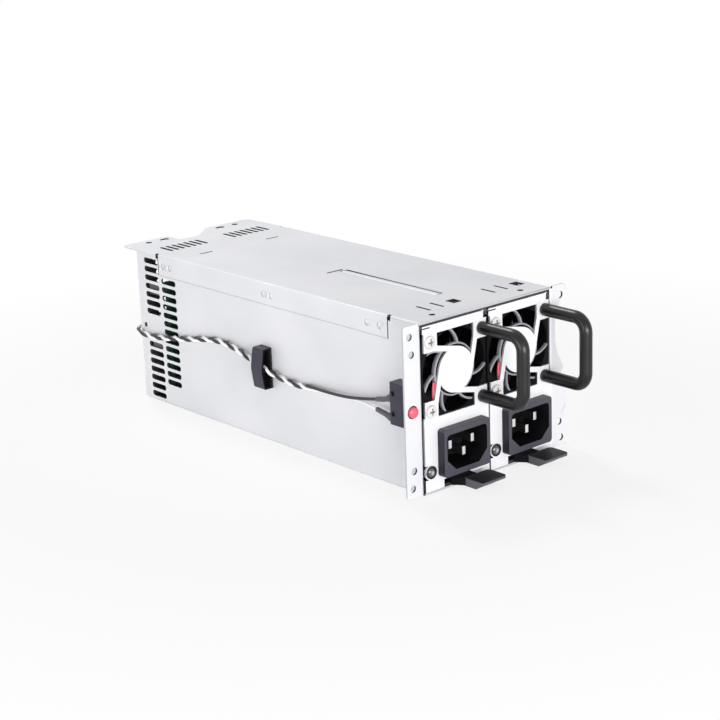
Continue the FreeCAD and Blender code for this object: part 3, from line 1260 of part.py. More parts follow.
# ---- electronics inside a module --------------------------------------------------------------
def board_half():
    """Half the width of the main board."""
    return CASE_HALF - CASE_SHEET - MAIN_BOARD_SIDE_GAP


def main_board():
    """Main board on four standoffs, with a narrower contact tongue through the rear wall."""
    rear = CASE_REAR - CASE_SHEET - MAIN_BOARD_SIDE_GAP
    z = (MAIN_BOARD_Z, MAIN_BOARD_Z + BOARD)
    board = box((-board_half(), board_half()), (rear - MAIN_BOARD_LENGTH, rear), z)
    tongue = box(around(0, EDGE_TONGUE_WIDTH), (rear, CASE_REAR + EDGE_TONGUE), z)
    rise = (0, 0, MAIN_BOARD_Z - CASE_FLOOR)
    x = board_half() - STANDOFF_INSET
    standoffs = [rod(STANDOFF_RADIUS, (side * x, CASE_REAR - y, CASE_FLOOR), rise)
                 for side in BOTH for y in STANDOFF_FROM_REAR]
    return fused([board, tongue, *standoffs])


def transformer():
    """Wound core on the main board: an E core with its winding."""
    low = MAIN_BOARD_Z + BOARD
    wide, tall = TRANSFORMER_WIDTH, TRANSFORMER_HEIGHT
    y = around(CASE_REAR - TRANSFORMER_FROM_REAR, TRANSFORMER_DEPTH)
    core = box(around(0, wide), y, (low, low + tall))
    inside = (low + CORE_YOKE, low + tall - CORE_YOKE)
    windows = []
    for side in BOTH:
        x = sorted((side * CORE_CENTRE_LEG / 2, side * (wide / 2 - CORE_LEG)))
        windows.append(box(x, (y[0] - 1, y[1] + 1), inside))
    winding = box(around(0, wide - 2 * CORE_LEG - 2 * WINDING_GAP),
                  (y[0] - WINDING_OVERHANG, y[1] + WINDING_OVERHANG),
                  (inside[0] + WINDING_GAP, inside[1] - WINDING_GAP))
    return fused([core.cut(windows), winding])


def capacitors():
    """Two bulk capacitors on the main board."""
    low = MAIN_BOARD_Z + BOARD
    cans = []
    for x, y in CAPACITOR_PLACES:
        can = rod(CAPACITOR_RADIUS, (x, CASE_REAR - y, low), (0, 0, CAPACITOR_HEIGHT))
        cans.append(can.makeChamfer(CAN_CHAMFER, [edge for edge in can.Edges if edge.Closed]))
    return Part.makeCompound(cans)


def heat_sinks():
    """Finned heat sink across the main board behind the transformer."""
    low = MAIN_BOARD_Z + BOARD
    end = CASE_REAR - HEAT_SINK_FROM_REAR
    y = (end - HEAT_SINK_LENGTH, end)
    width = (HEAT_SINK_FINS - 1) * HEAT_SINK_PITCH
    foot = box(around(0, width + HEAT_SINK_FIN), y, (low, low + HEAT_SINK_FOOT))
    fins = [box(around(index * HEAT_SINK_PITCH - width / 2, HEAT_SINK_FIN), y, (low, low + HEAT_SINK_HEIGHT))
            for index in range(HEAT_SINK_FINS)]
    return fused([foot, *fins])


# ---- the whole product ------------------------------------------------------------------------
CAGE_PARTS = {
    "cage_base": cage_base, "top_cover": top_cover, "centre_divider": centre_divider, "rear_panel": rear_panel,
    "backplane_board": backplane_board, "backplane_bracket": backplane_bracket, "board_screws": board_screws,
    "card_edge_sockets": card_edge_sockets, "output_terminals": output_terminals, "alarm_buzzer": alarm_buzzer,
    "lead_header": lead_header, "switch_body": switch_body, "switch_terminals": switch_terminals,
    "terminal_sleeves": terminal_sleeves, "alarm_button": alarm_button, "clip_pad": clip_pad,
    "cable_clip": cable_clip, "lead_black": lambda: lead("upper", "lead_black"),
    "lead_white": lambda: lead("lower", "lead_white"),
}
MODULE_PARTS = {
    "front_plate": front_plate, "module_case": module_case, "module_cover": module_cover, "fan_frame": fan_frame,
    "fan_rotor": fan_rotor, "fan_screws": fan_screws, "fan_lead": fan_lead, "handle": handle,
    "inlet_housing": inlet_housing, "inlet_pins": inlet_pins, "lamp_holder": lamp_holder,
    "status_lamp": status_lamp, "latch_lever": latch_lever, "latch_pin": latch_pin, "latch_spring": latch_spring,
    "main_board": main_board, "transformer": transformer, "capacitors": capacitors, "heat_sinks": heat_sinks,
}


def main():
    """Write one STEP file for each piece."""
    os.makedirs("parts", exist_ok=True)
    for name, make in CAGE_PARTS.items():
        make().exportStep(f"parts/{name}.step")
    for name, make in MODULE_PARTS.items():
        shape = make()
        for word, side in (("left", -1), ("right", 1)):
            placed = shape.copy()
            placed.translate(V(side * BAY_CENTRE, 0, 0))
            placed.exportStep(f"parts/{word}_{name}.step")


main()
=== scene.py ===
# Looks for a hot swap server power supply: a bright sheet steel cage that holds two plug-in modules.
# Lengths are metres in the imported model's own frame: X right, Y to the rear, Z up.

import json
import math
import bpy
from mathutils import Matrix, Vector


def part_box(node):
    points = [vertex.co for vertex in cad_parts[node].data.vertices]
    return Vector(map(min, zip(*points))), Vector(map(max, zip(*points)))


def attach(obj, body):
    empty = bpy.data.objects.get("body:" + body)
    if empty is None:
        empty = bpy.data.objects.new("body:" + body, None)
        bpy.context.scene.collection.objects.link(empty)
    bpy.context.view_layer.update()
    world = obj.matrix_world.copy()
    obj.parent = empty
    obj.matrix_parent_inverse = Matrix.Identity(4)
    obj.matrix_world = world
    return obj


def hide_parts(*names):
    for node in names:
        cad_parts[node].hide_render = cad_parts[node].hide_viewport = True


bl_info = {
    "name": "Hot swap server power supply",
    "version": (1, 0, 0),
    "blender": (4, 5, 0),
    "location": "3D View > Sidebar > Supply",
    "description": "Builds the finishes, leads, fans, handles and studio of a redundant server power supply",
    "category": "Object",
}

import bmesh
import bpy
import numpy as np
from mathutils import Matrix, Vector

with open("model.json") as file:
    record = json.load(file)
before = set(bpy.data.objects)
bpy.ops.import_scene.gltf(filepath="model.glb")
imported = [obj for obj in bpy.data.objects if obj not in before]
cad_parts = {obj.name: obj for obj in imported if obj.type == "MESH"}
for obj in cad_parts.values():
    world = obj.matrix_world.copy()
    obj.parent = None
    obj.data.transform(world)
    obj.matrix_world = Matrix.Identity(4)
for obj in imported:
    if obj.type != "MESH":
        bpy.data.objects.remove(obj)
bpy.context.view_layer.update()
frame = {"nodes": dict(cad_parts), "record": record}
NODES = frame["nodes"]
SLOT_OF = {part["node"]: part["material_slot"] for part in frame["record"]["subparts"]}
BODY_OF = {node: body for body, members in frame["record"]["behaviour"]["bodies"].items() for node in members}
MATERIALS = {}
MODULES = ("left", "right")

MM = 0.001
POLE = 0.1 * MM         # radius of the small ring round a pole, which a cap closes
FRONT = (0, -1, 0)      # directions of axes and normals
REAR = (0, 1, 0)
UP = (0, 0, 1)
RIGHT = (1, 0, 0)
ENDS = (0, -1)          # a tube's first and last ring, which caps close


# ---- sizes and colours that a user would change ----
def colour(name, text, value):
    return bpy.props.FloatVectorProperty(name=name, description=text, default=value, size=3, subtype="COLOR",
                                         min=0.0, max=1.0)


def length(name, text, value):
    return bpy.props.FloatProperty(name=name, description=text, default=value, unit="LENGTH", precision=5)


class SheetSettings(bpy.types.PropertyGroup):
    """Finish of the bent and punched sheet"""
    plated: colour("Plated sheet", "Colour of the cage and the module cases", (0.795, 0.795, 0.815))
    front: colour("Front plate", "Colour of the module front plates", (0.87, 0.87, 0.885))
    # The inside colour is painted shade: sheet inside the cage is the same zinc but is painted dark.
    inside: colour("Inside sheet in painted shade", "Colour of the sheet that only shows through openings", (0.10, 0.10, 0.11))
    rough: bpy.props.FloatProperty(name="Roughness", description="Mean roughness of the plated sheet",
                                   default=0.50, min=0.0, max=1.0, subtype="FACTOR")
    cut: colour("Cut edge", "Colour of the sheared outer edges", (0.60, 0.60, 0.62))
    # The hole colour is painted shade inside the punched holes and slots.
    hole: colour("Hole wall in painted shade", "Colour inside the punched holes and slots", (0.055, 0.055, 0.065))


class PlasticSettings(bpy.types.PropertyGroup):
    """Colours of the moulded parts and coatings"""
    black: colour("Black moulding", "Sockets, buzzer and lamp holders", (0.012, 0.012, 0.015))
    fan: colour("Fan moulding", "Fan frames and rotors", (0.004, 0.004, 0.0045))
    satin: colour("Satin moulding", "Switch and lead clip", (0.037, 0.035, 0.054))
    # The inlet face colour is lifted as painted light and the side colour lowered as painted shade: lit and
    # shaded copies of one black moulding.
    inlet: colour("Inlet moulding", "Faces of the mains inlet bezels", (0.060, 0.057, 0.074))
    inlet_shaded_side: colour("Inlet side in painted shade", "Sides of the mains inlet bezels", (0.018, 0.017, 0.024))
    handle: colour("Handle coating", "Coating of the pull handles", (0.004, 0.0037, 0.0042))
    button: colour("Button", "Alarm mute button", (0.78, 0.095, 0.14))
    # The mask colour is darkened to a painted shade, since the boards sit in the dark inside the cage.
    board: colour("Circuit board", "Mask of the circuit boards", (0.004, 0.024, 0.014))
    lens: colour("Lamp lens", "Clear status lamp", (0.70, 0.71, 0.73))


class LeadSettings(bpy.types.PropertyGroup):
    """Insulated leads"""
    dark: colour("Black lead", "Insulation of the first lead", (0.020, 0.020, 0.022))
    pale: colour("White lead", "Insulation of the second lead", (0.93, 0.93, 0.93))
    fan: colour("Fan lead", "Insulation of the fan leads", (0.80, 0.10, 0.14))
    diameter: length("Diameter", "Outer diameter of one lead", 0.0015)
    twist: length("Twist", "Length of one full turn of the pair", 0.0130)
    spread: length("Pair radius", "Distance of each lead's middle from the middle of the pair", 0.00078)


class StageSettings(bpy.types.PropertyGroup):
    """Camera, sky and floor"""
    place: bpy.props.FloatVectorProperty(name="Camera place", description="Where the camera stands", size=3,
                                         default=(-0.57040, -0.67980, 0.30000), subtype="XYZ", unit="LENGTH")
    look: bpy.props.FloatVectorProperty(name="Camera aim", description="Direction in which the camera looks",
                                        size=3, default=(0.62535, 0.72487, -0.28895), subtype="DIRECTION")
    lens: bpy.props.FloatProperty(name="Lens", description="Focal length on a 36 mm sensor", default=93.01,
                                  unit="CAMERA")
    roll: bpy.props.FloatProperty(name="Roll", description="Turn of the camera about its aim",
                                  default=math.radians(-2.1), subtype="ANGLE")
    sky: bpy.props.FloatProperty(name="Sky", description="Strength of the even light from all round",
                                 default=0.36)
    floor: colour("Floor", "Colour of the studio floor", (0.90, 0.90, 0.90))


def settings(group):
    return getattr(bpy.context.scene, group)


# ---- shader nodes and groups ----
def node(tree, kind, inputs=None, **options):
    """Add a shader node with its options; each input gets a plain value or the socket that feeds it."""
    made = tree.nodes.new(kind)
    for option, value in options.items():
        setattr(made, option, value)
    for name, part in (inputs or {}).items():
        if isinstance(part, bpy.types.NodeSocket):
            tree.links.new(part, made.inputs[name])
        else:
            made.inputs[name].default_value = part
    return made


def calc(tree, operation, first, second):
    """Sum, product or other result of two values."""
    return node(tree, "ShaderNodeMath", {0: first, 1: second}, operation=operation).outputs[0]


def noise(tree, vector, scale, detail=2.0, rough=0.5):
    """Cloudy value between 0 and 1 over a vector."""
    return node(tree, "ShaderNodeTexNoise", {"Vector": vector, "Scale": scale, "Detail": detail,
                                             "Roughness": rough}).outputs["Fac"]


def mix_colour(tree, factor, first, second, blend="MIX"):
    """Colour made of two; the node's sockets 0, 6 and 7 are its factor and its two colours."""
    return node(tree, "ShaderNodeMix", {0: factor, 6: first, 7: second}, data_type="RGBA",
                blend_type=blend).outputs[2]


def remap(tree, source, low, high, start=0.0, end=1.0):
    """Value that runs from low to high while the source runs from start to end."""
    return node(tree, "ShaderNodeMapRange", {"Value": source, "From Min": start, "From Max": end,
                                             "To Min": low, "To Max": high}).outputs[0]


def point_value(tree):
    """The value between 0 and 1 that a shell keeps on each of its points."""
    return node(tree, "ShaderNodeAttribute", attribute_name="shade").outputs["Fac"]


def opaque(tint, factor=1.0, lift=0.0):
    """Colour with its alpha: each part of a tint times a factor, plus a lift."""
    return (*[factor * part + lift for part in tint], 1)


def skin_group(name, **numbers):
    """Empty shader group: a vector, a colour and numbers in, and a colour, a roughness and a normal out."""
    tree = bpy.data.node_groups.new(name, "ShaderNodeTree")
    socket = tree.interface.new_socket
    for kind in ("Vector", "Color"):
        socket(kind, in_out="INPUT", socket_type=f"NodeSocket{kind}")
    for label, value in numbers.items():
        number = socket(label.replace("_", " "), in_out="INPUT", socket_type="NodeSocketFloat")
        number.default_value = value
    for label, kind in (("Color", "Color"), ("Roughness", "Float"), ("Normal", "Vector")):
        socket(label, in_out="OUTPUT", socket_type=f"NodeSocket{kind}")
    return tree, tree.nodes.new("NodeGroupInput").outputs, tree.nodes.new("NodeGroupOutput").inputs


def lead_out(tree, enter, leave, tint, grain, spread, height, strength, depth):
    """Feed a group's outputs: a colour, a roughness that the grain moves between two shares, and a bump."""
    low, high = [calc(tree, "MULTIPLY", enter["Roughness"], factor) for factor in spread]
    bump = node(tree, "ShaderNodeBump", {"Height": height, "Strength": strength, "Distance": depth})
    tree.links.new(tint, leave["Color"])
    tree.links.new(remap(tree, grain, low, high, 0.3, 0.7), leave["Roughness"])
    tree.links.new(bump.outputs[0], leave["Normal"])


def rolled_sheet_group():
    """Plated sheet: faint mill grain along one axis, soft cloudy patches and a fine orange peel."""
    tree, enter, leave = skin_group("Rolled sheet", Roughness=0.4, Grain=0.05, Peel=0.1)
    vector, tint = enter["Vector"], enter["Color"]
    stretched = node(tree, "ShaderNodeMapping", {"Vector": vector, "Scale": (6.0, 0.35, 6.0)})
    grain = noise(tree, stretched.outputs[0], 420.0, 3.0, 0.6)
    peel = noise(tree, vector, 950.0)
    dark = mix_colour(tree, 1.0, tint, (0.90, 0.905, 0.92, 1), "MULTIPLY")
    cloudy = mix_colour(tree, remap(tree, noise(tree, vector, 22.0), 0.0, 1.0, 0.36, 0.66), dark, tint)
    streaked = mix_colour(tree, calc(tree, "MULTIPLY", grain, enter["Grain"]), cloudy, dark)
    lead_out(tree, enter, leave, streaked, grain, (0.82, 1.20), calc(tree, "ADD", grain, peel), enter["Peel"],
             0.02 * MM)


def moulded_skin_group():
    """Moulded plastic or coating: fine spark texture and slightly uneven gloss and depth of colour."""
    tree, enter, leave = skin_group("Moulded skin", Roughness=0.5, Grain_Size=2400.0, Depth=0.25)
    vector, tint = enter["Vector"], enter["Color"]
    spark = noise(tree, vector, enter["Grain Size"])
    paler = mix_colour(tree, 1.0, tint, (0.006, 0.006, 0.0065, 1), "ADD")
    patchy = mix_colour(tree, remap(tree, noise(tree, vector, 90.0), 0.0, 1.0, 0.35, 0.70), tint, paler)
    lead_out(tree, enter, leave, patchy, spark, (0.86, 1.16), spark, enter["Depth"], 0.03 * MM)


# ---- materials ----
def new_material(name, **sockets):
    """Material with a Principled BSDF and Object coordinates; returns it, its tree, shader and vector."""
    made = bpy.data.materials.new(name)
    made.use_nodes = True
    tree = made.node_tree
    shader = tree.nodes["Principled BSDF"]
    for label, value in sockets.items():
        shader.inputs[label.replace("_", " ")].default_value = value
    return made, tree, shader, tree.nodes.new("ShaderNodeTexCoord").outputs["Object"]


def skinned(name, group, values, **sockets):
    """Material whose shader is fed by a shader group; returns it, its tree, that group and the vector."""
    made, tree, shader, vector = new_material(name, **sockets)
    skin = node(tree, "ShaderNodeGroup", {"Vector": vector, **values}, node_tree=bpy.data.node_groups[group])
    for label in ("Roughness", "Normal"):
        tree.links.new(skin.outputs[label], shader.inputs[label])
    tree.links.new(skin.outputs["Color"], shader.inputs["Base Color"])
    return made, tree, skin, vector


def sheet_material(name, tint, metallic, rough, grain=0.5, peel=0.10):
    values = {"Color": opaque(tint), "Roughness": rough, "Grain": grain, "Peel": peel}
    return skinned(name, "Rolled sheet", values, Metallic=metallic)[0]


def plastic_material(name, tint, rough, size=2400.0, depth=0.25, specular=0.5, coat=0.0):
    values = {"Color": opaque(tint), "Roughness": rough, "Grain Size": size, "Depth": depth}
    return skinned(name, "Moulded skin", values, Specular_IOR_Level=specular, Coat_Weight=coat)[0]


def board_material(name, tint):
    """Laminate with copper tracks that show as slightly paler bands under the mask."""
    values = {"Roughness": 0.32, "Grain Size": 1800.0, "Depth": 0.10}
    made, tree, skin, vector = skinned(name, "Moulded skin", values, Specular_IOR_Level=0.2)
    cells = node(tree, "ShaderNodeTexBrick", {
        "Vector": vector, "Scale": 260.0, "Mortar Size": 0.10, "Mortar Smooth": 0.2,
        "Color1": opaque(tint), "Color2": opaque(tint, 0.7), "Mortar": opaque(tint, 1.9, 0.01)})
    tree.links.new(cells.outputs["Color"], skin.inputs["Color"])
    return made


def screw_material(name, tint, recess):
    """Bright plated head with painted shade: the point value is 1 down in the crossed recess and part way at
    the rim, where the head takes the darker colour.
    """
    values = {"Roughness": 0.36, "Grain": 0.1, "Peel": 0.02}
    made, tree, skin, _ = skinned(name, "Rolled sheet", values, Metallic=0.5)
    tree.links.new(mix_colour(tree, point_value(tree), opaque(tint), opaque(recess)), skin.inputs["Color"])
    return made


def lens_material(name, tint):
    """Clear dome with a painted highlight in its middle and painted shade towards its rim: the point value
    runs from 0 at the middle to 1 at the rim.
    """
    values = {"Roughness": 0.14, "Depth": 0.02}
    made, tree, skin, _ = skinned(name, "Moulded skin", values, IOR=1.50, Coat_Weight=0.5)
    ramp = node(tree, "ShaderNodeValToRGB", {0: point_value(tree)})
    stops = ramp.color_ramp.elements
    stops.remove(stops[1])
    stops[0].color = opaque(tint, 0.75)
    for position, level in ((0.16, 0.40), (0.34, 0.10), (0.66, 0.07), (0.86, 0.02), (1.0, 0.012)):
        stops.new(position).color = opaque(tint, level)
    tree.links.new(ramp.outputs["Color"], skin.inputs["Color"])
    return made


def build_materials():
    """Every finish: the record's slots, and after them the few that only some pieces use."""
    sheet, plastic, leads = settings("supply_sheet"), settings("supply_plastic"), settings("supply_leads")
    rolled_sheet_group()
    moulded_skin_group()
    return {
        "zinc_sheet": sheet_material("Zinc plated sheet", sheet.plated, 0.30, sheet.rough),
        "plate_steel": sheet_material("Bright front plate", sheet.front, 0.15, 0.50, 0.3, 0.06),
        "screw_steel": screw_material("Nickel plated screw", (0.83, 0.81, 0.81), (0.30, 0.21, 0.19)),
        "spring_steel": sheet_material("Spring wire", (0.42, 0.42, 0.44), 0.9, 0.32, 0.2, 0.05),
        "terminal_brass": sheet_material("Tinned brass", (0.74, 0.66, 0.44), 0.9, 0.28, 0.3, 0.05),
        "pin_nickel": sheet_material("Nickel plated blade", (0.80, 0.80, 0.81), 0.85, 0.30, 0.05, 0.0),
        "sink_aluminium": sheet_material("Extruded aluminium", (0.70, 0.71, 0.72), 0.9, 0.38, 0.8, 0.20),
        "circuit_board": board_material("Green laminate", plastic.board),
        "socket_plastic": plastic_material("Socket moulding", plastic.black, 0.50),
        "buzzer_plastic": plastic_material("Buzzer moulding", plastic.black, 0.38),
        "header_plastic": plastic_material("Header moulding", (0.80, 0.78, 0.70), 0.45),
        "switch_plastic": plastic_material("Switch moulding", plastic.satin, 0.40, 1700.0, 0.30, 0.25),
        "clip_plastic": plastic_material("Clip moulding", plastic.satin, 0.38, 1700.0, 0.25, 0.25),
        "sleeve_grey": plastic_material("Shrink sleeve", (0.085, 0.083, 0.095), 0.45, 1200.0, 0.30),
        "pad_foam": plastic_material("Adhesive foam", (0.022, 0.022, 0.025), 0.9, 1500.0, 0.6),
        "lead_black": plastic_material("Black insulation", leads.dark, 0.42, 1500.0, 0.15),
        "lead_white": plastic_material("White insulation", leads.pale, 0.42, 1500.0, 0.12),
        "lead_red": plastic_material("Red insulation", leads.fan, 0.42, 1500.0, 0.12),
        "button_red": plastic_material("Red button", plastic.button, 0.30, 1200.0, 0.05, coat=0.25),
        "fan_plastic": plastic_material("Fan moulding", plastic.fan, 0.40, 1400.0, 0.20, 0.06),
        "handle_black": plastic_material("Handle coating", plastic.handle, 0.33, 2600.0, 0.20, 0.38),
        "inlet_plastic": plastic_material("Inlet moulding", plastic.inlet, 0.42, 1900.0, 0.28, 0.25),
        "latch_plastic": plastic_material("Latch moulding", (0.007, 0.0068, 0.009), 0.42, 2000.0, 0.30, 0.12),
        "lamp_ring": plastic_material("Lamp holder", plastic.black, 0.40),
        "lamp_lens": lens_material("Clear lens", plastic.lens),
        "ferrite": plastic_material("Ferrite and tape", (0.06, 0.055, 0.05), 0.6, 900.0, 0.5),
        "capacitor_sleeve": plastic_material("Capacitor sleeve", (0.025, 0.025, 0.05), 0.25, 900.0, 0.05),
        "cut_edge": sheet_material("Cut edge", sheet.cut, 0.5, 0.45, 0.8, 0.25),
        "hole_wall_shade": sheet_material("Hole wall in painted shade", sheet.hole, 0.3, 0.6, 0.8, 0.25),
        # Near black painted shade for cavities, the clip's inside, the stem behind a latch paddle and the bars
        # under the cover's slits.
        "painted_shade_black": plastic_material("Painted shade black", (0.004, 0.004, 0.005), 0.8, specular=0.05),
        "inside_shade_sheet": sheet_material("Inside sheet in painted shade", sheet.inside, 0.5, 0.5),
        "blade_shaded_side": sheet_material("Blade side in painted shade", (0.10, 0.10, 0.105), 0.85, 0.34, 0.05, 0.0),
        "fan_rib_highlight": plastic_material("Fan ribs in painted highlight", (0.30, 0.30, 0.33), 0.30, 1400.0, 0.10),
        "inlet_shaded_side": plastic_material("Inlet side in painted shade", plastic.inlet_shaded_side, 0.36, 1900.0, 0.28, 0.15),
        "latch_lit_sides": plastic_material("Latch sides in painted light", (0.085, 0.082, 0.095), 0.40, 2000.0, 0.30, 0.30),
    }


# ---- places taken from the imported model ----
def span(name):
    """Lowest and highest corner of a CAD node."""
    low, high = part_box(name)
    return np.array(low), np.array(high)


def middle(name):
    return sum(span(name)) / 2


# ---- shapes on grids of two parameters ----
class Shell:
    """Points, point values and faces of one piece, gathered from surfaces on grids of two parameters."""

    def __init__(self):
        self.points, self.values, self.faces = [], [], []
        self.count = 0

    def grid(self, points, caps=(), wrap_rows=False, flip=False, value=0.0):
        """Add points (rows, columns, 3) as quads whose columns close into rings.

        A cap closes the first ring (0) or the last one (-1) with a fan round its middle.
        """
        rows, columns = points.shape[:2]
        value = np.broadcast_to(value, (rows, columns))
        row = np.arange(rows if wrap_rows else rows - 1)
        here, beside = np.meshgrid(row, np.arange(columns), indexing="ij")
        below, after = (here + 1) % rows, (beside + 1) % columns
        corners = ((here, beside), (here, after), (below, after), (below, beside))
        parts = [np.stack([ring * columns + spot for ring, spot in corners], -1).reshape(-1, 4)]
        spots, values = [points.reshape(-1, 3)], [value.reshape(-1)]
        for cap in caps:
            edge = (cap % rows) * columns + np.arange(columns)
            beyond = np.roll(edge, -1)
            pole = np.full(columns, rows * columns + len(spots) - 1)
            parts.append(np.stack([edge, beyond, pole] if cap else [beyond, edge, pole], -1))
            spots.append(points[cap].mean(0, keepdims=True))
            values.append(value[cap, :1])
        for part in parts:
            faces = part + self.count
            self.faces += (faces[:, ::-1] if flip else faces).tolist()
        self.points += spots
        self.values += values
        self.count += rows * columns + len(caps)
        return self

    def piece(self, name, material, like, replace=True, angle=35.0):
        """Make the mesh object, with points that lie together joined; it rides with a CAD node."""
        mesh = bpy.data.meshes.new(name)
        mesh.from_pydata(np.concatenate(self.points).tolist(), [], self.faces)
        shade = mesh.attributes.new("shade", "FLOAT", "POINT")
        shade.data.foreach_set("value", np.concatenate(self.values))
        work = bmesh.new()
        work.from_mesh(mesh)
        bmesh.ops.remove_doubles(work, verts=work.verts, dist=0.002 * MM)
        work.to_mesh(mesh)
        work.free()
        return finish_piece(name, mesh, material, like, replace, angle)


def finish_piece(name, mesh, material, like, replace=True, angle=35.0):
    """Shade a mesh, give it a finish and link it on the body of a CAD node, which it replaces if asked."""
    mesh.shade_smooth()
    mesh.set_sharp_from_angle(angle=math.radians(angle))
    mesh.materials.append(MATERIALS[material])
    piece = bpy.data.objects.new(name, mesh)
    bpy.context.scene.collection.objects.link(piece)
    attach(piece, BODY_OF[like])
    if replace:
        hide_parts(like)
    return piece


def unit(vectors):
    return vectors / np.linalg.norm(vectors, axis=-1, keepdims=True)


def full_turn(count):
    """Angles spread evenly over one turn."""
    return np.linspace(0, 2 * np.pi, count, endpoint=False)


def revolved(profile, centre, axis, around):
    """Surface of revolution: each profile point (radius, distance along the axis) swept round the axis."""
    profile, axis = np.asarray(profile, float), np.asarray(axis, float)
    turn = full_turn(around)[:, None]
    first = unit(np.cross(axis, RIGHT if axis[2] else UP))
    ring = np.cos(turn) * first + np.sin(turn) * np.cross(axis, first)
    return np.asarray(centre) + profile[:, None, :1] * ring[None] + profile[:, None, 1:] * axis


def turned(profile, centre, around=56):
    """Profile of (radius, y) swept round the lengthways axis through a centre."""
    return revolved(profile, (centre[0], 0, centre[2]), REAR, around)


def swept(path, radius, sides=16, reference=UP):
    """Round tube: a circle of the radius carried along a path in the plane across each tangent."""
    tangent = unit(np.gradient(path, axis=0))
    first = unit(np.cross(tangent, reference))
    second = np.cross(tangent, first)
    turn = full_turn(sides)[None, :, None]
    radius = np.broadcast_to(radius, (len(path),))[:, None, None]
    return path[:, None] + radius * (np.cos(turn) * first[:, None] + np.sin(turn) * second[:, None])


def banded(path, wide, deep, normal, closed=False):
    """Bar with rounded corners: a superellipse of two half widths carried along a path in a plane."""
    tangent = unit(np.roll(path, -1, 0) - np.roll(path, 1, 0) if closed else np.gradient(path, axis=0))
    across = np.cross(tangent, normal)
    turn = full_turn(20)
    u = np.sign(np.cos(turn)) * np.abs(np.cos(turn)) ** 0.5 * wide
    v = -np.sign(np.sin(turn)) * np.abs(np.sin(turn)) ** 0.5 * deep
    return path[:, None] + u[None, :, None] * across[:, None] + v[None, :, None] * np.asarray(normal, float)


def arc(centre, radius, start, end, count):
    """Points of a circular arc in a plane, between two angles in degrees."""
    turn = np.radians(np.linspace(start, end, count))
    return np.stack([centre[0] + radius * np.cos(turn), centre[1] + radius * np.sin(turn)], -1)


def in_front_plane(centre, x, level, z):
    """Points at x and z from a centre, in the upright plane across the part at y = level."""
    return np.stack(np.broadcast_arrays(centre[0] + x, level, centre[2] + z), -1)


def rounded_profile(corners, reach, steps=5):
    """Profile through corners (u, v) with each inner corner replaced by a quadratic curve of a set reach."""
    corners = np.asarray(corners, float)
    out = [corners[:1]]
    t = np.linspace(0, 1, steps)[:, None]
    for before, here, after in zip(corners, corners[1:], corners[2:]):
        back, ahead = before - here, after - here
        near = min(reach, 0.45 * np.linalg.norm(back), 0.45 * np.linalg.norm(ahead))
        start, end = here + unit(back) * near, here + unit(ahead) * near
        out.append((1 - t) ** 2 * start + 2 * t * (1 - t) * here + t ** 2 * end)
    out.append(corners[-1:])
    return np.concatenate(out)


def smooth_step(value, low, high):
    """Cubic ramp from 0 at the low value to 1 at the high value."""
    t = np.clip((value - low) / (high - low), 0, 1)
    return t * t * (3 - 2 * t)


def vectors_of(items, label):
    """One vector of every vertex or face of a mesh, as an array."""
    values = np.empty(len(items) * 3)
    items.foreach_get(label, values)
    return values.reshape(-1, 3)


def curve_points(name, points):
    """Points along a smooth spline that has the given points as its control points."""
    curve = bpy.data.curves.new(name, "CURVE")
    curve.dimensions = "3D"
    curve.resolution_u = 24
    spline = curve.splines.new("NURBS")
    spline.points.add(len(points) - 1)
    spline.points.foreach_set("co", [part for point in points for part in (*point, 1.0)])
    spline.order_u = 3
    spline.use_endpoint_u = True
    holder = bpy.data.objects.new(name, curve)
    bpy.context.scene.collection.objects.link(holder)
    mesh = bpy.data.meshes.new_from_object(holder.evaluated_get(bpy.context.evaluated_depsgraph_get()))
    spots = vectors_of(mesh.vertices, "co")
    bpy.data.objects.remove(holder)
    bpy.data.curves.remove(curve)
    bpy.data.meshes.remove(mesh)
    return spots


# ---- CAD nodes with a finer skin ----
SHARP_TURN = 28.0           # degrees from which an edge of sheet or of a moulding counts as sharp
FLAT_TURN = 0.6             # degrees under which the faces of a moulding merge
SHEET_WIDEST = 1.25 * MM    # widest cut edge
SMALL_WALL = 7e-6           # square metres under which a flat cut wall belongs to a punched opening
COVER_SMALL_WALL = 11e-6    # the same for the cover, whose slits are longer


def merged_copy(name, flat_angle=0.0):
    """Copy of a CAD node's mesh with its corners joined and, if asked, its flat triangles merged."""
    mesh = bpy.data.meshes.new(f"{name}_skin")
    work = bmesh.new()
    work.from_mesh(NODES[name].data)
    bmesh.ops.remove_doubles(work, verts=work.verts, dist=0.001 * MM)
    if flat_angle:
        bmesh.ops.dissolve_limit(work, angle_limit=math.radians(flat_angle), verts=work.verts,
                                 edges=work.edges, delimit={"NORMAL"})
    work.to_mesh(mesh)
    work.free()
    return mesh


def flat_normals(piece):
    """Let large faces set the normals, so flat sheet stays flat beside its bends."""
    weighted = piece.modifiers.new("Flat faces", "WEIGHTED_NORMAL")
    weighted.mode = "FACE_AREA"
    weighted.weight = 100
    weighted.keep_sharp = True


def dressed(name, material, edge, segments=2):
    """Moulded or turned CAD node with its sharp edges rounded to a radius."""
    piece = finish_piece(f"{name}_skin", merged_copy(name, FLAT_TURN), material, name, angle=180.0)
    bevel = piece.modifiers.new("Edge radius", "BEVEL")
    bevel.width = edge
    bevel.segments = segments
    bevel.limit_method = "ANGLE"
    bevel.angle_limit = math.radians(SHARP_TURN)
    bevel.miter_outer = "MITER_ARC"
    flat_normals(piece)
    return piece


def second_finish(piece, material, chosen):
    """Put another finish on the faces that a test of their middles and normals picks."""
    piece.data.materials.append(MATERIALS[material])
    faces = piece.data.polygons
    index = np.empty(len(faces), np.int32)
    faces.foreach_get("material_index", index)
    index[chosen(vectors_of(faces, "center"), vectors_of(faces, "normal"))] = len(piece.data.materials) - 1
    faces.foreach_set("material_index", index)


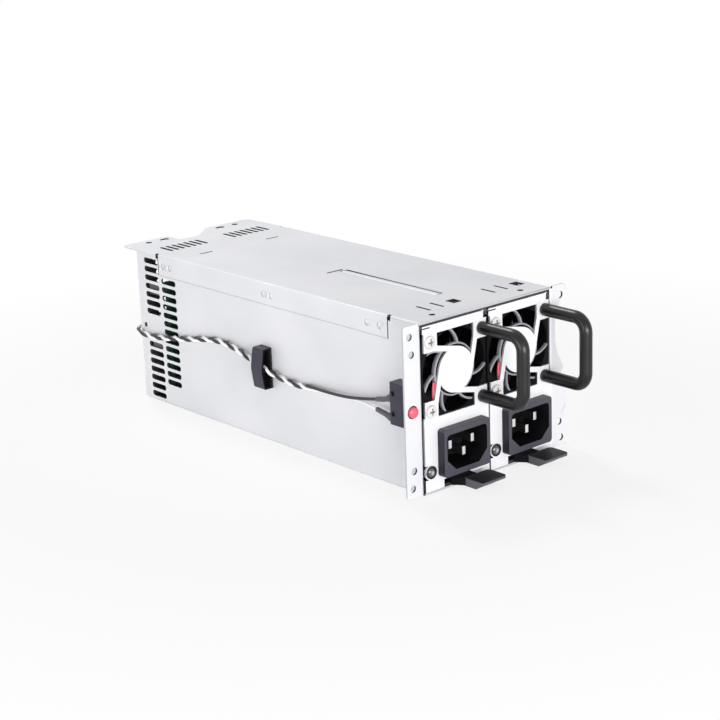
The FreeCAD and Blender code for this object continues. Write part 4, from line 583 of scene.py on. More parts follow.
def looks_forward(middles, normals):
    """Test for faces that look forward."""
    return normals[:, 1] < -0.9


def looks_in(name):
    """Test for faces that look towards the lengthways axis through the middle of a CAD node."""
    centre = middle(name)
    return lambda middles, normals: np.sum((middles - centre) * normals * (1, 0, 1), axis=1) < 0


def dressed_sheet(name, material, small_wall=SMALL_WALL):
    """Sheet CAD node in three finishes: its rolled faces, its sheared edges, and the walls of its holes in
    painted shade.

    A region is a set of faces joined across edges that aren't sharp. Its mean width is twice its area over
    the length of its border, which on a cut edge or the wall of a hole is the sheet's thickness. The wall of
    a round hole or slot is one whose normals cancel out; a small flat one belongs to a punched cut.
    """
    mesh = merged_copy(name)
    work = bmesh.new()
    work.from_mesh(mesh)
    limit = math.radians(SHARP_TURN)
    sharp = {edge for edge in work.edges if len(edge.link_faces) != 2 or edge.calc_face_angle(0.0) > limit}
    waiting = set(work.faces)
    while waiting:
        region = [waiting.pop()]
        border = area = 0.0
        facing = Vector((0, 0, 0))
        for face in region:
            area += face.calc_area()
            facing += face.normal * face.calc_area()
            for edge in face.edges:
                if edge in sharp:
                    border += edge.calc_length()
                    continue
                for other in edge.link_faces:
                    if other in waiting:
                        waiting.remove(other)
                        region.append(other)
        if border and 2 * area / border < SHEET_WIDEST:
            finish = 2 if facing.length < 0.3 * area or area < small_wall else 1
            for face in region:
                face.material_index = finish
    work.to_mesh(mesh)
    work.free()
    piece = finish_piece(f"{name}_skin", mesh, material, name, angle=SHARP_TURN)
    piece.data.materials.append(MATERIALS["cut_edge"])
    piece.data.materials.append(MATERIALS["hole_wall_shade"])
    flat_normals(piece)
    return piece


class SUPPLY_OT_finishes(bpy.types.Operator):
    """Build the finishes and put one on every CAD node"""
    bl_idname = "supply.finishes"
    bl_label = "Finishes"

    def execute(self, context):
        MATERIALS.update(build_materials())
        for name, cad in NODES.items():
            cad.data.materials.clear()
            cad.data.materials.append(MATERIALS[SLOT_OF[name]])
        return {"FINISHED"}


# ---- sheet metal ----
SHEETS = ("cage_base", "top_cover", "rear_panel", "centre_divider", "backplane_bracket")
SKIN_DEPTH = 0.4 * MM           # a face this far inside the cage counts as inside
FLAP_TOP = 1.3 * MM             # the cover's flaps begin this far under the cage's top
CASE_FLOOR = 1.5 * MM           # height of the front edge of a module case's floor
FRONT_SLITS = ((-2.8 * MM, 5.4 * MM), 12.4 * MM, 21.4 * MM)     # sideways from a bay's middle; both ends
REAR_SLITS = ((-22.9 * MM, 20.4 * MM), 3.9 * MM, 35.0 * MM)     # middles, half length, distance from the rear
DIVIDER_SLIT = (-9.9 * MM, -0.1 * MM, 99.2 * MM)                # both ends, distance from the front
SLIT_SPREAD = 0.22 * MM         # how far each long wall of a slit moves outwards
SLIT_SHADE_FLOOR = (0.69 * MM, 0.25 * MM, 0.62 * MM)          # half width, half depth, depth under the cover
LIP = (1.6 * MM, 0.5 * MM, 0.60 * MM)                   # the same for the divider's lip
LIP_ENDS, LIP_MIDDLE = (30.3 * MM, 96.9 * MM), -1.1 * MM


class SUPPLY_OT_sheet_metal(bpy.types.Operator):
    """Dress the cage, the covers, the cases and the front plates, give them painted shade inside and in their
    holes, and fill the cover's slits and long slot with black bars of painted shade
    """
    bl_idname = "supply.sheet_metal"
    bl_label = "Sheet metal"

    def execute(self, context):
        cage_low, cage_high = span("cage_base")
        cover_low, cover_high = span("top_cover")
        low = np.array((cover_low[0], cage_low[1], 0)) + SKIN_DEPTH
        high = np.array((cover_high[0], cage_high[1], cover_high[2])) - SKIN_DEPTH
        sheets = {}
        for name in SHEETS:
            small_wall = COVER_SMALL_WALL if name == "top_cover" else SMALL_WALL
            sheets[name] = dressed_sheet(name, "zinc_sheet", small_wall)
            # Faces inside the cage get the painted shade of the inside sheet, and so does the rear panel's
            # forward face.
            if name != "rear_panel":
                second_finish(sheets[name], "inside_shade_sheet", lambda middles, normals: (
                    np.all((middles > low) & (middles < high), axis=1)))
        second_finish(sheets["rear_panel"], "inside_shade_sheet", looks_forward)
        # The cover's forward faces under its top, the ends of its flaps, get painted shade.
        second_finish(sheets["top_cover"], "hole_wall_shade", lambda middles, normals: (
            looks_forward(middles, normals) & (middles[:, 2] < cage_high[2] - FLAP_TOP)))
        for side in MODULES:
            dressed_sheet(f"{side}_front_plate", "plate_steel")
            case = dressed_sheet(f"{side}_module_case", "zinc_sheet")
            # A case's inner faces get painted shade.
            second_finish(case, "inside_shade_sheet", looks_in(f"{side}_module_case"))
            floor = span(f"{side}_module_case")[0][2] + CASE_FLOOR
            # The front edge of a case's floor gets painted shade, a dark line under the front plate.
            second_finish(case, "hole_wall_shade", lambda middles, normals: (
                looks_forward(middles, normals) & (middles[:, 2] < floor)))
            dressed_sheet(f"{side}_module_cover", "zinc_sheet")
        start, end = [(LIP_MIDDLE, cage_low[1] + reach) for reach in LIP_ENDS]
        self.sunk_bar(Shell(), start, end, *LIP, count=40).piece(
            "divider_lip", "zinc_sheet", "centre_divider", replace=False)
        # Black bars of painted shade under the cover's slits and long slot.
        shell = Shell()
        for start, end in self.slits():
            self.spread_walls(sheets["top_cover"], np.array(start), np.array(end))
            self.sunk_bar(shell, start, end, *SLIT_SHADE_FLOOR)
        shell.piece("cover_slit_shade_floors", "painted_shade_black", "top_cover", replace=False)
        return {"FINISHED"}

    def slits(self):
        """Ends (x, y) of the slits: two in front over each module, two at the rear, one at the divider."""
        front, rear = span("cage_base")[0][1], span("rear_panel")[1][1]
        places, start, end = FRONT_SLITS
        for side in MODULES:
            bay = middle(f"{side}_module_cover")[0]
            for offset in places:
                yield (bay + offset, front + start), (bay + offset, front + end)
        places, half, inset = REAR_SLITS
        for x in places:
            yield (x - half, rear - inset), (x + half, rear - inset)
        start, end, inset = DIVIDER_SLIT
        yield (start, front + inset), (end, front + inset)

    def spread_walls(self, cover, start, end):
        """Move the long walls of a slit outwards, so that its mouth is a little wider than its cutter."""
        spots = vectors_of(cover.data.vertices, "co")
        along = unit(end - start)
        across = np.array((-along[1], along[0]))
        run, side = (spots[:, :2] - start) @ along, (spots[:, :2] - start) @ across
        margin = 0.3 * MM
        near = (run > -margin) & (run < np.linalg.norm(end - start) + margin) & (np.abs(side) < 2 * margin)
        spots[near, :2] += np.sign(side[near])[:, None] * across * SLIT_SPREAD
        cover.data.vertices.foreach_set("co", spots.reshape(-1))

    def sunk_bar(self, shell, start, end, wide, deep, under, count=12):
        """Crowned bar between two points (x, y), a depth under the top of the cover."""
        path = np.linspace(start, end, count)
        path = np.column_stack([path, np.full(count, span("top_cover")[1][2] - under)])
        return shell.grid(banded(path, wide, deep, UP), ENDS)


# ---- mouldings ----
PADDLE_REACH = 12.2 * MM                            # length of a latch's paddle in front of the plate
INLET_MOUTH = np.array((12.7 * MM, 9.2 * MM))       # half width and half height of the dark mouth
INLET_FACE = 0.4 * MM                               # depth of the bezel's face


class SUPPLY_OT_mouldings(bpy.types.Operator):
    """Inlets with their pins, latch levers, the lead clip with its pad, and connectors with rounded edges"""
    bl_idname = "supply.mouldings"
    bl_label = "Mouldings"

    def execute(self, context):
        for side in MODULES:
            self.inlet(side)
            self.latch(side)
        clip = dressed("cable_clip", "clip_plastic", 0.28 * MM, 3)
        # The clip's forward faces and the faces that look into it get painted shade.
        inward = looks_in("cable_clip")
        second_finish(clip, "painted_shade_black", lambda middles, normals: (
            looks_forward(middles, normals) | inward(middles, normals)))
        dressed("clip_pad", "pad_foam", 0.15 * MM)
        dressed("output_terminals", "terminal_brass", 0.25 * MM)
        dressed("card_edge_sockets", "socket_plastic", 0.25 * MM)
        dressed("alarm_buzzer", "buzzer_plastic", 0.3 * MM, 3)
        dressed("lead_header", "header_plastic", 0.2 * MM)
        return {"FINISHED"}

    def inlet(self, side):
        """Inlet bezel and blades; the bezel's sides are in painted shade, and the faces behind its front and
        inside its mouth are painted shade for the cavity.
        """
        housing = dressed(f"{side}_inlet_housing", "inlet_plastic", 0.55 * MM, 3)
        face = span(f"{side}_inlet_housing")[0][1] + INLET_FACE
        centre = middle(f"{side}_inlet_pins")[[0, 2]]
        second_finish(housing, "inlet_shaded_side", lambda middles, normals: np.abs(normals[:, 0]) > 0.9)
        second_finish(housing, "painted_shade_black", lambda middles, normals: (
            np.all(np.abs(middles[:, [0, 2]] - centre) < INLET_MOUTH, axis=1) & (middles[:, 1] > face)))
        pins = dressed(f"{side}_inlet_pins", "pin_nickel", 0.22 * MM)
        # The blades' sides that turn away from the front get painted shade.
        second_finish(pins, "blade_shaded_side", lambda middles, normals: normals[:, 1] > -0.5)

    def latch(self, side):
        """Latch lever: painted shade behind its paddle, and painted light on the sides round the paddle's lip,
        which are paler than its top.
        """
        lever = dressed(f"{side}_latch_lever", "latch_plastic", 0.55 * MM, 3)
        back = span(f"{side}_latch_lever")[0][1] + PADDLE_REACH
        second_finish(lever, "painted_shade_black", lambda middles, normals: middles[:, 1] > back)
        second_finish(lever, "latch_lit_sides", lambda middles, normals: (
            (middles[:, 1] < back) & (normals[:, 2] < 0.6)))


# ---- screws ----
HEAD_RADIUS, HEAD_HEIGHT, HEAD_EASE = 3.1 * MM, 1.5 * MM, 0.5 * MM      # the last is the fall at the rim
# The point value at the rim sets how much painted shade the rim takes.
HEAD_DOME, HEAD_SHADE = 0.28, 0.45      # share of the height that is domed, and point value at the rim
SHANK_RADIUS, SHANK_EASE = 1.5 * MM, 0.2 * MM
CROSS_ARM = (0.26 * MM, 0.42 * MM)      # half width of an arm, at its floor and at its mouth
CROSS_REACH = (1.4 * MM, 1.8 * MM)      # the same for an arm's length
CROSS_DEPTH, CROSS_ZONE = 0.9 * MM, 2.2 * MM        # the zone has the finer rings
FAN_HOLE_INSET = 4.0 * MM               # screws in from the edges of a fan's frame
PLATE_SCREW, FAN_SCREW, BOARD_SCREW = 11.0 * MM, 26.9 * MM, 3.2 * MM     # lengths


def crossed_head(shell, seat, axis, reach):
    """Pan head on a polar grid, with a shank behind it: its height is a flat dome less a crossed recess."""
    across = np.cross(axis, RIGHT)
    fine, coarse = np.linspace(POLE, CROSS_ZONE, 30), np.linspace(CROSS_ZONE + POLE, HEAD_RADIUS, 12)
    distance, angle = np.meshgrid(np.concatenate([fine, coarse]), full_turn(96), indexing="ij")
    u, v = distance * np.cos(angle), distance * np.sin(angle)
    sphere = np.sqrt(np.clip(1 - (distance / HEAD_RADIUS) ** 2, 0, 1))
    dome = HEAD_HEIGHT * (1 - HEAD_DOME + HEAD_DOME * sphere)
    dome -= HEAD_EASE * smooth_step(distance, 0.86 * HEAD_RADIUS, HEAD_RADIUS)
    arm = np.minimum(np.abs(u), np.abs(v))
    recess = (1 - smooth_step(arm, *CROSS_ARM)) * (1 - smooth_step(distance, *CROSS_REACH))
    lift = dome - CROSS_DEPTH * recess
    top = np.asarray(seat) + (u[..., None] * np.asarray(RIGHT, float) + v[..., None] * across
                              - lift[..., None] * np.asarray(axis, float))
    # The point values carry painted shade: full in the crossed recess and part way at the rim.
    rim = HEAD_SHADE * smooth_step(distance, 0.90 * HEAD_RADIUS, 0.97 * HEAD_RADIUS)
    shell.grid(top, (0,), value=recess + rim)
    profile = [(HEAD_RADIUS, -lift[-1, 0]), (HEAD_RADIUS, 0), (SHANK_RADIUS, 0), (SHANK_RADIUS, reach)]
    shell.grid(revolved(rounded_profile(profile, SHANK_EASE), seat, axis, 96), (-1,))


class SUPPLY_OT_screws(bpy.types.Operator):
    """Pan head screws with crossed recesses, at the guards, behind the fans and on the backplane"""
    bl_idname = "supply.screws"
    bl_label = "Screws"

    def execute(self, context):
        for side in MODULES:
            plate = span(f"{side}_front_plate")[0][1]
            low, high = span(f"{side}_fan_frame")
            shell = Shell()
            for z in (low[2] + FAN_HOLE_INSET, high[2] - FAN_HOLE_INSET):
                crossed_head(shell, (low[0] + FAN_HOLE_INSET, plate, z), REAR, PLATE_SCREW)
                crossed_head(shell, (high[0] - FAN_HOLE_INSET, high[1], z), FRONT, FAN_SCREW)
            shell.piece(f"{side}_crossed_screws", "screw_steel", f"{side}_fan_screws")
        low, high = span("board_screws")
        shell = Shell()
        for x in (low[0] + HEAD_RADIUS, high[0] - HEAD_RADIUS):
            for z in (low[2] + HEAD_RADIUS, high[2] - HEAD_RADIUS):
                crossed_head(shell, (x, low[1] + HEAD_HEIGHT, z), REAR, BOARD_SCREW)
        shell.piece("backplane_screws", "screw_steel", "board_screws")
        return {"FINISHED"}


# ---- handles ----
HANDLE_BEND, HANDLE_FOOT = 6.5 * MM, 0.93       # the foot is the share of the radius at the bar's ends


class SUPPLY_OT_handles(bpy.types.Operator):
    """Coated round bars bent to a U"""
    bl_idname = "supply.handles"
    bl_label = "Handles"

    def execute(self, context):
        for side in MODULES:
            low, high = span(f"{side}_handle")
            radius = (high[0] - low[0]) / 2
            bar, bottom, top = low[1] + radius, low[2] + radius, high[2] - radius
            leg = np.linspace(high[1], bar + HANDLE_BEND, 24)[:-1]
            upright = np.linspace(bottom + HANDLE_BEND, top - HANDLE_BEND, 20)[1:-1]
            outline = np.concatenate([
                np.column_stack([leg, np.full(len(leg), bottom)]),
                arc((bar + HANDLE_BEND, bottom + HANDLE_BEND), HANDLE_BEND, 270, 180, 18),
                np.column_stack([np.full(len(upright), bar), upright]),
                arc((bar + HANDLE_BEND, top - HANDLE_BEND), HANDLE_BEND, 180, 90, 18),
                np.column_stack([leg[::-1], np.full(len(leg), top)])])
            path = np.column_stack([np.full(len(outline), (low[0] + high[0]) / 2), outline])
            wide = np.full(len(path), radius)
            wide[[0, -1]] = HANDLE_FOOT * radius
            Shell().grid(swept(path, wide, 32, RIGHT), ENDS).piece(
                f"{side}_pull_handle", "handle_black", f"{side}_handle")
        return {"FINISHED"}


# ---- fans ----
BLADES, RIBS = 7, 7
HUB_RADIUS, HUB_DEPTH, HUB_EASE = 10.8 * MM, 14.0 * MM, 0.9 * MM
BLADE_ROOT, BLADE_TIP, BLADE_CHORD = 10.0 * MM, 18.2 * MM, 8.2 * MM     # radii and half chord
BLADE_PITCH = (48.0, 32.0)              # degrees at the root and at the tip
BLADE_CAMBER, BLADE_WALL = 1.1 * MM, 0.42 * MM
FRAME_BORE, FRAME_CORNER, FRAME_EASE, FRAME_SQUARENESS = 19.1 * MM, 3.0 * MM, 0.4 * MM, 14.0
SEAT_RADIUS, SEAT_DEPTH, SEAT_EASE = 12.0 * MM, 2.6 * MM, 0.5 * MM
RIB_START, RIB_REACH = 11.8 * MM, 7.7 * MM
RIB_ANGLES = (26.5, 14.0, 6.0)          # degrees: the start, and the turn with the reach and with its square
RIB_LEVEL = 1.0 * MM
RIB_HALF = (0.56 * MM, 1.0 * MM)        # half width and half depth
BEAD_RADIUS, BEAD_HALF = 11.9 * MM, (0.5 * MM, 1.1 * MM)
MOTOR_LEAD = np.array(((-12.25, -3.7), (-13.1, -8.0), (-12.5, -12.9))) * MM      # x, z from the fan's middle
MOTOR_LEAD_LEVEL, MOTOR_LEAD_RADIUS = 0.7 * MM, 0.6 * MM


class SUPPLY_OT_fans(bpy.types.Operator):
    """Fan rotors with twisted cambered blades, fan frames with their ribs, and the motor leads"""
    bl_idname = "supply.fans"
    bl_label = "Fans"

    def execute(self, context):
        for side in MODULES:
            low, high = span(f"{side}_fan_frame")
            centre = middle(f"{side}_fan_frame")
            self.rotor(side, centre)
            self.housing(side, centre, low, high)
            self.ribs(side, centre, low[1])
            self.lead(side, centre, low[1])
        return {"FINISHED"}

    def rotor(self, side, centre):
        """Hub with rounded rims, and its blades at equal turns."""
        back = span(f"{side}_fan_rotor")[1][1]
        front = back - HUB_DEPTH
        hub = [(POLE, front), (HUB_RADIUS, front), (HUB_RADIUS, back), (POLE, back)]
        shell = Shell().grid(turned(rounded_profile(hub, HUB_EASE), centre, 64), ENDS)
        for turn in full_turn(BLADES):
            shell.grid(self.blade(centre, front + HUB_DEPTH / 2, turn), ENDS, flip=True)
        shell.piece(f"{side}_rotor", "fan_plastic", f"{side}_fan_rotor")

    def blade(self, centre, level, turn):
        """Blade over radius and chord: pitch falls from root to tip, with camber and a thin aerofoil wall."""
        radius = np.linspace(BLADE_ROOT, BLADE_TIP, 12)[:, None]
        chord = np.linspace(-1, 1, 15)
        ring = np.concatenate([chord, chord[-2:0:-1]])[None, :]
        face = np.concatenate([np.ones(15), -np.ones(13)])[None, :]
        root, tip = BLADE_PITCH
        pitch = np.radians(root + (tip - root) * (radius - BLADE_ROOT) / (BLADE_TIP - BLADE_ROOT))
        off = BLADE_CAMBER * (1 - ring ** 2) + face * BLADE_WALL * np.sqrt(np.clip(1 - ring ** 2, 0, 1))
        across = ring * BLADE_CHORD * np.cos(pitch) - off * np.sin(pitch)
        along = ring * BLADE_CHORD * np.sin(pitch) + off * np.cos(pitch)
        angle = turn + across / radius
        return in_front_plane(centre, radius * np.sin(angle), level + along, radius * np.cos(angle))

    def housing(self, side, centre, low, high):
        """Fan frame: rounded square outside and round bore inside, over one angle, and the motor's seat."""
        half = (high[0] - low[0]) / 2
        turn = full_turn(240)
        cos, sin = np.cos(turn), np.sin(turn)
        power = FRAME_SQUARENESS
        outside = half / (np.abs(cos) ** power + np.abs(sin) ** power) ** (1 / power)
        outside = np.minimum(outside, half * math.sqrt(2) - FRAME_CORNER * (math.sqrt(2) - 1))
        front, back, ease = low[1], high[1], FRAME_EASE
        rings = [(FRAME_BORE, front + ease), (FRAME_BORE + ease, front), (outside - ease, front),
                 (outside, front + ease), (outside, back - ease), (outside - ease, back),
                 (FRAME_BORE + ease, back), (FRAME_BORE, back - ease)]
        points = np.stack([in_front_plane(centre, reach * cos, level, reach * sin) for reach, level in rings])
        shell = Shell().grid(points, wrap_rows=True, flip=True)
        behind = front + SEAT_DEPTH
        seat = [(POLE, front), (SEAT_RADIUS, front), (SEAT_RADIUS, behind), (POLE, behind)]
        shell.grid(turned(rounded_profile(seat, SEAT_EASE), centre, 96), ENDS)
        shell.piece(f"{side}_fan_housing", "fan_plastic", f"{side}_fan_frame")

    def ribs(self, side, centre, front):
        """Flat ribs whose angle grows with their reach and its square, and the bead round the motor's seat."""
        shell = Shell()
        level = front + RIB_LEVEL
        t = np.linspace(0, 1, 30)
        radius = RIB_START + RIB_REACH * t
        start, turn, bend = RIB_ANGLES
        for index in range(RIBS):
            angle = np.radians(360 / RIBS * index + start + turn * t + bend * t * t)
            path = in_front_plane(centre, radius * np.cos(angle), level, radius * np.sin(angle))
            shell.grid(banded(path, *RIB_HALF, REAR), ENDS)
        angle = full_turn(96)
        path = in_front_plane(centre, BEAD_RADIUS * np.cos(angle), level, BEAD_RADIUS * np.sin(angle))
        shell.grid(banded(path, *BEAD_HALF, REAR, closed=True), wrap_rows=True)
        # The grey of the ribs and of the bead is a painted highlight on black fan plastic.
        shell.piece(f"{side}_fan_ribs", "fan_rib_highlight", f"{side}_fan_frame", replace=False)

    def lead(self, side, centre, front):
        """Thin insulated lead on a smooth curve through three points in front of the blades."""
        spots = in_front_plane(centre, MOTOR_LEAD[:, 0], front + MOTOR_LEAD_LEVEL, MOTOR_LEAD[:, 1])
        route = curve_points(f"{side}_fan_lead_route", spots.tolist())
        Shell().grid(swept(route, MOTOR_LEAD_RADIUS, reference=REAR), ENDS).piece(
            f"{side}_motor_lead", "lead_red", f"{side}_fan_lead")


# ---- leads from the backplane to the mute switch ----
HEADER = (-33.8, 95.45, 38.0)
PAIR_ROUTE = (
    (-33.8, 102.0, 38.0), (-33.7, 109.3, 37.9), (-36.6, 112.2, 37.5), (-40.9, 112.2, 37.1),
    (-43.8, 109.3, 36.7), (-43.9, 102.0, 36.2), (-43.6, 94.7, 35.9), (-43.6, 80.8, 37.8), (-43.6, 63.2, 40.7),
    (-43.6, 45.3, 44.3), (-43.6, 31.3, 45.0), (-43.8, 17.7, 42.4), (-44.9, 2.0, 38.6), (-43.9, -10.2, 35.8),
    (-43.7, -22.2, 34.7),
)
SPLIT_ROUTES = {
    "upper": ((-44.4, -35.2, 36.4), (-45.6, -49.2, 37.0), (-46.5, -63.7, 38.2), (-47.0, -76.81, 40.52),
              (-47.0, -83.65, 42.0)),
    "lower": ((-43.1, -35.2, 35.0), (-43.4, -49.2, 36.3), (-44.5, -63.7, 37.6), (-47.0, -76.74, 38.29),
              (-47.0, -83.65, 37.2)),
}
LEADS = {"upper": ("lead_black", 1.0), "lower": ("lead_white", -1.0)}       # node, and mm over the pair
WALL_SIDE = -40.0 * MM          # a lead is outside the left wall where its x is less
TWIST_START = 3.0 * MM          # length along the pair at which the twist begins
TWIST_END = -32.0 * MM          # y at which it ends
TWIST_IN, TWIST_OUT = 4.0 * MM, (5.0 * MM, 3.0 * MM)    # reach after its start, and before and after its end
SLEEVES = ((0.9, -2.6), (-8.4, 1.9))        # height from the switch's middle, and rise, in mm
SLEEVE_LENGTH, SLEEVE_GAP = 12.0 * MM, 0.4 * MM
SLEEVE_FLAT = (1.22 * MM, 1.92 * MM)        # half width and half height over the blade
SLEEVE_ROUND, SLEEVE_TAPER = 1.42 * MM, 0.25 * MM
WRINKLES = ((0.018, 46, 0), (0.012, 97, 1))     # share of the radius, waves in radians over the length, phase


class SUPPLY_OT_leads(bpy.types.Operator):
    """Twisted pair from the backplane, round the wall and through the clip, and its two shrink sleeves"""
    bl_idname = "supply.leads"
    bl_label = "Leads"

    def execute(self, context):
        """Each lead follows the middle of the pair plus a radius that turns with the length run."""
        leads = settings("supply_leads")
        routes = {}
        for which, (name, rise) in LEADS.items():
            spots = np.array((HEADER, *PAIR_ROUTE)) + (0, 0, rise)
            spots = np.concatenate([spots, SPLIT_ROUTES[which]]) * MM
            routes[which] = curve_points(f"{name}_route", spots.tolist())
        centre = (routes["upper"] + routes["lower"]) / 2
        run = np.concatenate([[0], np.cumsum(np.linalg.norm(np.diff(centre, axis=0), axis=1))])
        split = run[np.argmin(np.abs(centre[:, 1] - TWIST_END) + (centre[:, 0] > WALL_SIDE))]
        turns = round((split - TWIST_START) / leads.twist)
        before, after = TWIST_OUT
        held = smooth_step(run, TWIST_START, TWIST_START + TWIST_IN)
        held = (held * (1 - smooth_step(run, split - before, split + after)))[:, None]
        phase = 2 * np.pi * turns * np.clip((run - TWIST_START) / (split - TWIST_START), 0, 1)[:, None]
        tangent = unit(np.gradient(centre, axis=0))
        beside = unit(np.cross(tangent, UP))
        upward = np.cross(beside, tangent)
        for which, (name, rise) in LEADS.items():
            ring = rise * leads.spread * (np.cos(phase) * upward + np.sin(phase) * beside)
            path = (1 - held) * routes[which] + held * (centre + ring)
            piece = Shell().grid(swept(path, leads.diameter / 2), ENDS).piece(f"{name}_twisted", name, name)
        self.sleeves()
        return {"FINISHED"}

    def sleeves(self):
        """Shrink sleeve: an ellipse along a bent axis, flat over the solder blade and round over the lead."""
        centre, back = middle("switch_body"), span("switch_body")[1][1]
        t = np.linspace(0, 1, 60)
        blend = smooth_step(t, 0.22, 0.48)
        wrinkle = 1 + sum(share * np.sin(waves * t + phase) for share, waves, phase in WRINKLES)
        wide, tall = [((1 - blend) * flat + blend * (SLEEVE_ROUND - SLEEVE_TAPER * t)) * wrinkle
                      for flat in SLEEVE_FLAT]
        for size in (wide, tall):
            size[0] = 0.9 * size[1]
            size[-1] = 0.84 * size[-2]
        bend = smooth_step(t, 0.15, 0.55) * t
        turn = full_turn(28)
        shell = Shell()
        for offset, rise in SLEEVES:
            level = back + SLEEVE_GAP + t * SLEEVE_LENGTH
            height = centre[2] + (offset + bend * rise) * MM
            points = np.stack(np.broadcast_arrays(centre[0] + wide[:, None] * np.cos(turn), level[:, None],
                                                  height[:, None] + tall[:, None] * np.sin(turn)), -1)
            shell.grid(points, ENDS, flip=True)
        shell.piece("shrink_sleeves", "sleeve_grey", "terminal_sleeves")


# ---- switch, button and lamps ----
SWITCH_HOLES, SWITCH_HOLE_INSET = (-4.75 * MM, 4.75 * MM), 8.3 * MM     # heights, distance from the front
RIM = np.array(((1.6, 0.6), (1.2, 0.6), (1.2, -0.22), (1.95, -0.22), (2.05, 0.6), (1.6, 0.6))) * MM
RIM_EASE = 0.16 * MM
CAP_SHARE = 0.92                # the cap's radius as a share of the CAD cap's
CAP_CROWN, PLUNGER_RADIUS = 1.0 * MM, 1.1 * MM
CAP_SKIRT = (1.1 * MM, 3.0 * MM)        # front and back of the cap's straight side
BEZEL_WALL, BEZEL_EASE, LENS_SHARE, LENS_CROWN = 0.35 * MM, 0.28 * MM, 0.985, 1.6 * MM


class SUPPLY_OT_switch(bpy.types.Operator):
    """Alarm mute switch with raised rims round its holes, and its domed button"""
    bl_idname = "supply.switch"
    bl_label = "Mute switch"

    def execute(self, context):
        dressed("switch_body", "switch_plastic", 0.35 * MM, 3)
        low = span("switch_body")[0]
        rim = rounded_profile(RIM, RIM_EASE)[:-1]
        shell = Shell()
        for height in SWITCH_HOLES:
            seat = (low[0], low[1] + SWITCH_HOLE_INSET, middle("switch_body")[2] + height)
            shell.grid(revolved(rim, seat, RIGHT, 40), wrap_rows=True)
        shell.piece("switch_hole_rims", "switch_plastic", "switch_body", replace=False)
        low, high = span("alarm_button")
        radius = CAP_SHARE * (high[0] - low[0]) / 2
        cap = [(POLE, 0)]
        cap += [(radius * math.sin(a), CAP_CROWN * (1 - math.cos(a))) for a in np.linspace(0.15, 1.35, 10)]
        cap += [(radius, CAP_SKIRT[0]), (radius, CAP_SKIRT[1]), (PLUNGER_RADIUS, CAP_SKIRT[1]),
                (PLUNGER_RADIUS, high[1] - low[1]), (POLE, high[1] - low[1])]
        Shell().grid(turned(np.array(cap) + (0, low[1]), middle("alarm_button")), ENDS).piece(
            "mute_button", "button_red", "alarm_button", angle=50)
        return {"FINISHED"}


class SUPPLY_OT_lamps(bpy.types.Operator):
    """Status lamps: clear domed lenses in black holders"""
    bl_idname = "supply.lamps"
    bl_label = "Status lamps"

    def execute(self, context):
        for side in MODULES:
            low, high = span(f"{side}_lamp_holder")
            lens_low, lens_high = span(f"{side}_status_lamp")
            centre = (low + high) / 2
            outer = (high[0] - low[0]) / 2
            inner = outer - BEZEL_WALL
            ring = [(inner, high[1]), (inner, low[1]), (outer, low[1]), (outer, high[1]), (inner, high[1])]
            Shell().grid(turned(rounded_profile(ring, BEZEL_EASE), centre)).piece(
                f"{side}_lamp_bezel", "lamp_ring", f"{side}_lamp_holder")
            inner *= LENS_SHARE
            t = np.linspace(0, 1, 16)
            dome = np.stack([POLE + (inner - POLE) * np.sin(t * np.pi / 2),
                             lens_low[1] + LENS_CROWN * (1 - np.cos(t * np.pi / 2))], -1)
            profile = np.concatenate([dome, [(inner, lens_high[1]), (POLE, lens_high[1])]])
            # Point values for the lens's painted highlight in its middle and painted shade at its rim.
            value = np.concatenate([t, [1.0, 1.0]])[:, None]
            Shell().grid(turned(profile, centre), ENDS, value=value).piece(
                f"{side}_lamp_dome", "lamp_lens", f"{side}_status_lamp", angle=60)
        return {"FINISHED"}


# ---- inside the modules ----
CAN_RADIUS, CAN_EASE = 11.0 * MM, 0.7 * MM
CAN_BEAD = (3.0 * MM, 4.2 * MM, 5.4 * MM)       # heights of the bead's ends and of its neck between them
CAN_RIM, CAN_SINK = (0.93, 0.86, 0.84), 0.6 * MM    # shares of the radius at the neck and round the sunk top
SPRING_TURNS, SPRING_INSET, SPRING_WIRE = 4, 0.3 * MM, 0.27 * MM


class SUPPLY_OT_electronics(bpy.types.Operator):
    """Capacitor cans with a bead and a sunk top, and coiled latch springs"""
    bl_idname = "supply.electronics"
    bl_label = "Electronics"

    def execute(self, context):
        for side in MODULES:
            low, high = span(f"{side}_capacitors")
            height = high[2] - low[2]
            first, neck, last = CAN_BEAD
            pinch, rim, sunk = [share * CAN_RADIUS for share in CAN_RIM]
            can = rounded_profile([(POLE, 0), (CAN_RADIUS, 0), (CAN_RADIUS, first), (pinch, neck),
                                   (CAN_RADIUS, last), (CAN_RADIUS, height), (rim, height),
                                   (sunk, height - CAN_SINK), (POLE, height - CAN_SINK)], CAN_EASE)
            shell = Shell()
            for x, y in (low[:2] + CAN_RADIUS, high[:2] - CAN_RADIUS):
                shell.grid(revolved(can, (x, y, low[2]), UP, 56), ENDS)
            shell.piece(f"{side}_bulk_capacitors", "capacitor_sleeve", f"{side}_capacitors")
            self.spring(side)
        return {"FINISHED"}

    def spring(self, side):
        """Helix: height grows evenly with the turn, between the ends of the CAD spring."""
        low, high = span(f"{side}_latch_spring")
        centre = (low + high) / 2
        t = np.linspace(0, 1, 160)
        turn = 2 * np.pi * SPRING_TURNS * t
        reach = (high[0] - low[0]) / 2 - SPRING_INSET
        path = np.stack([centre[0] + reach * np.cos(turn), centre[1] + reach * np.sin(turn),
                         low[2] + SPRING_INSET + (high[2] - low[2] - 2 * SPRING_INSET) * t], -1)
        Shell().grid(swept(path, SPRING_WIRE, 10), ENDS).piece(
            f"{side}_coil_spring", "spring_steel", f"{side}_latch_spring")


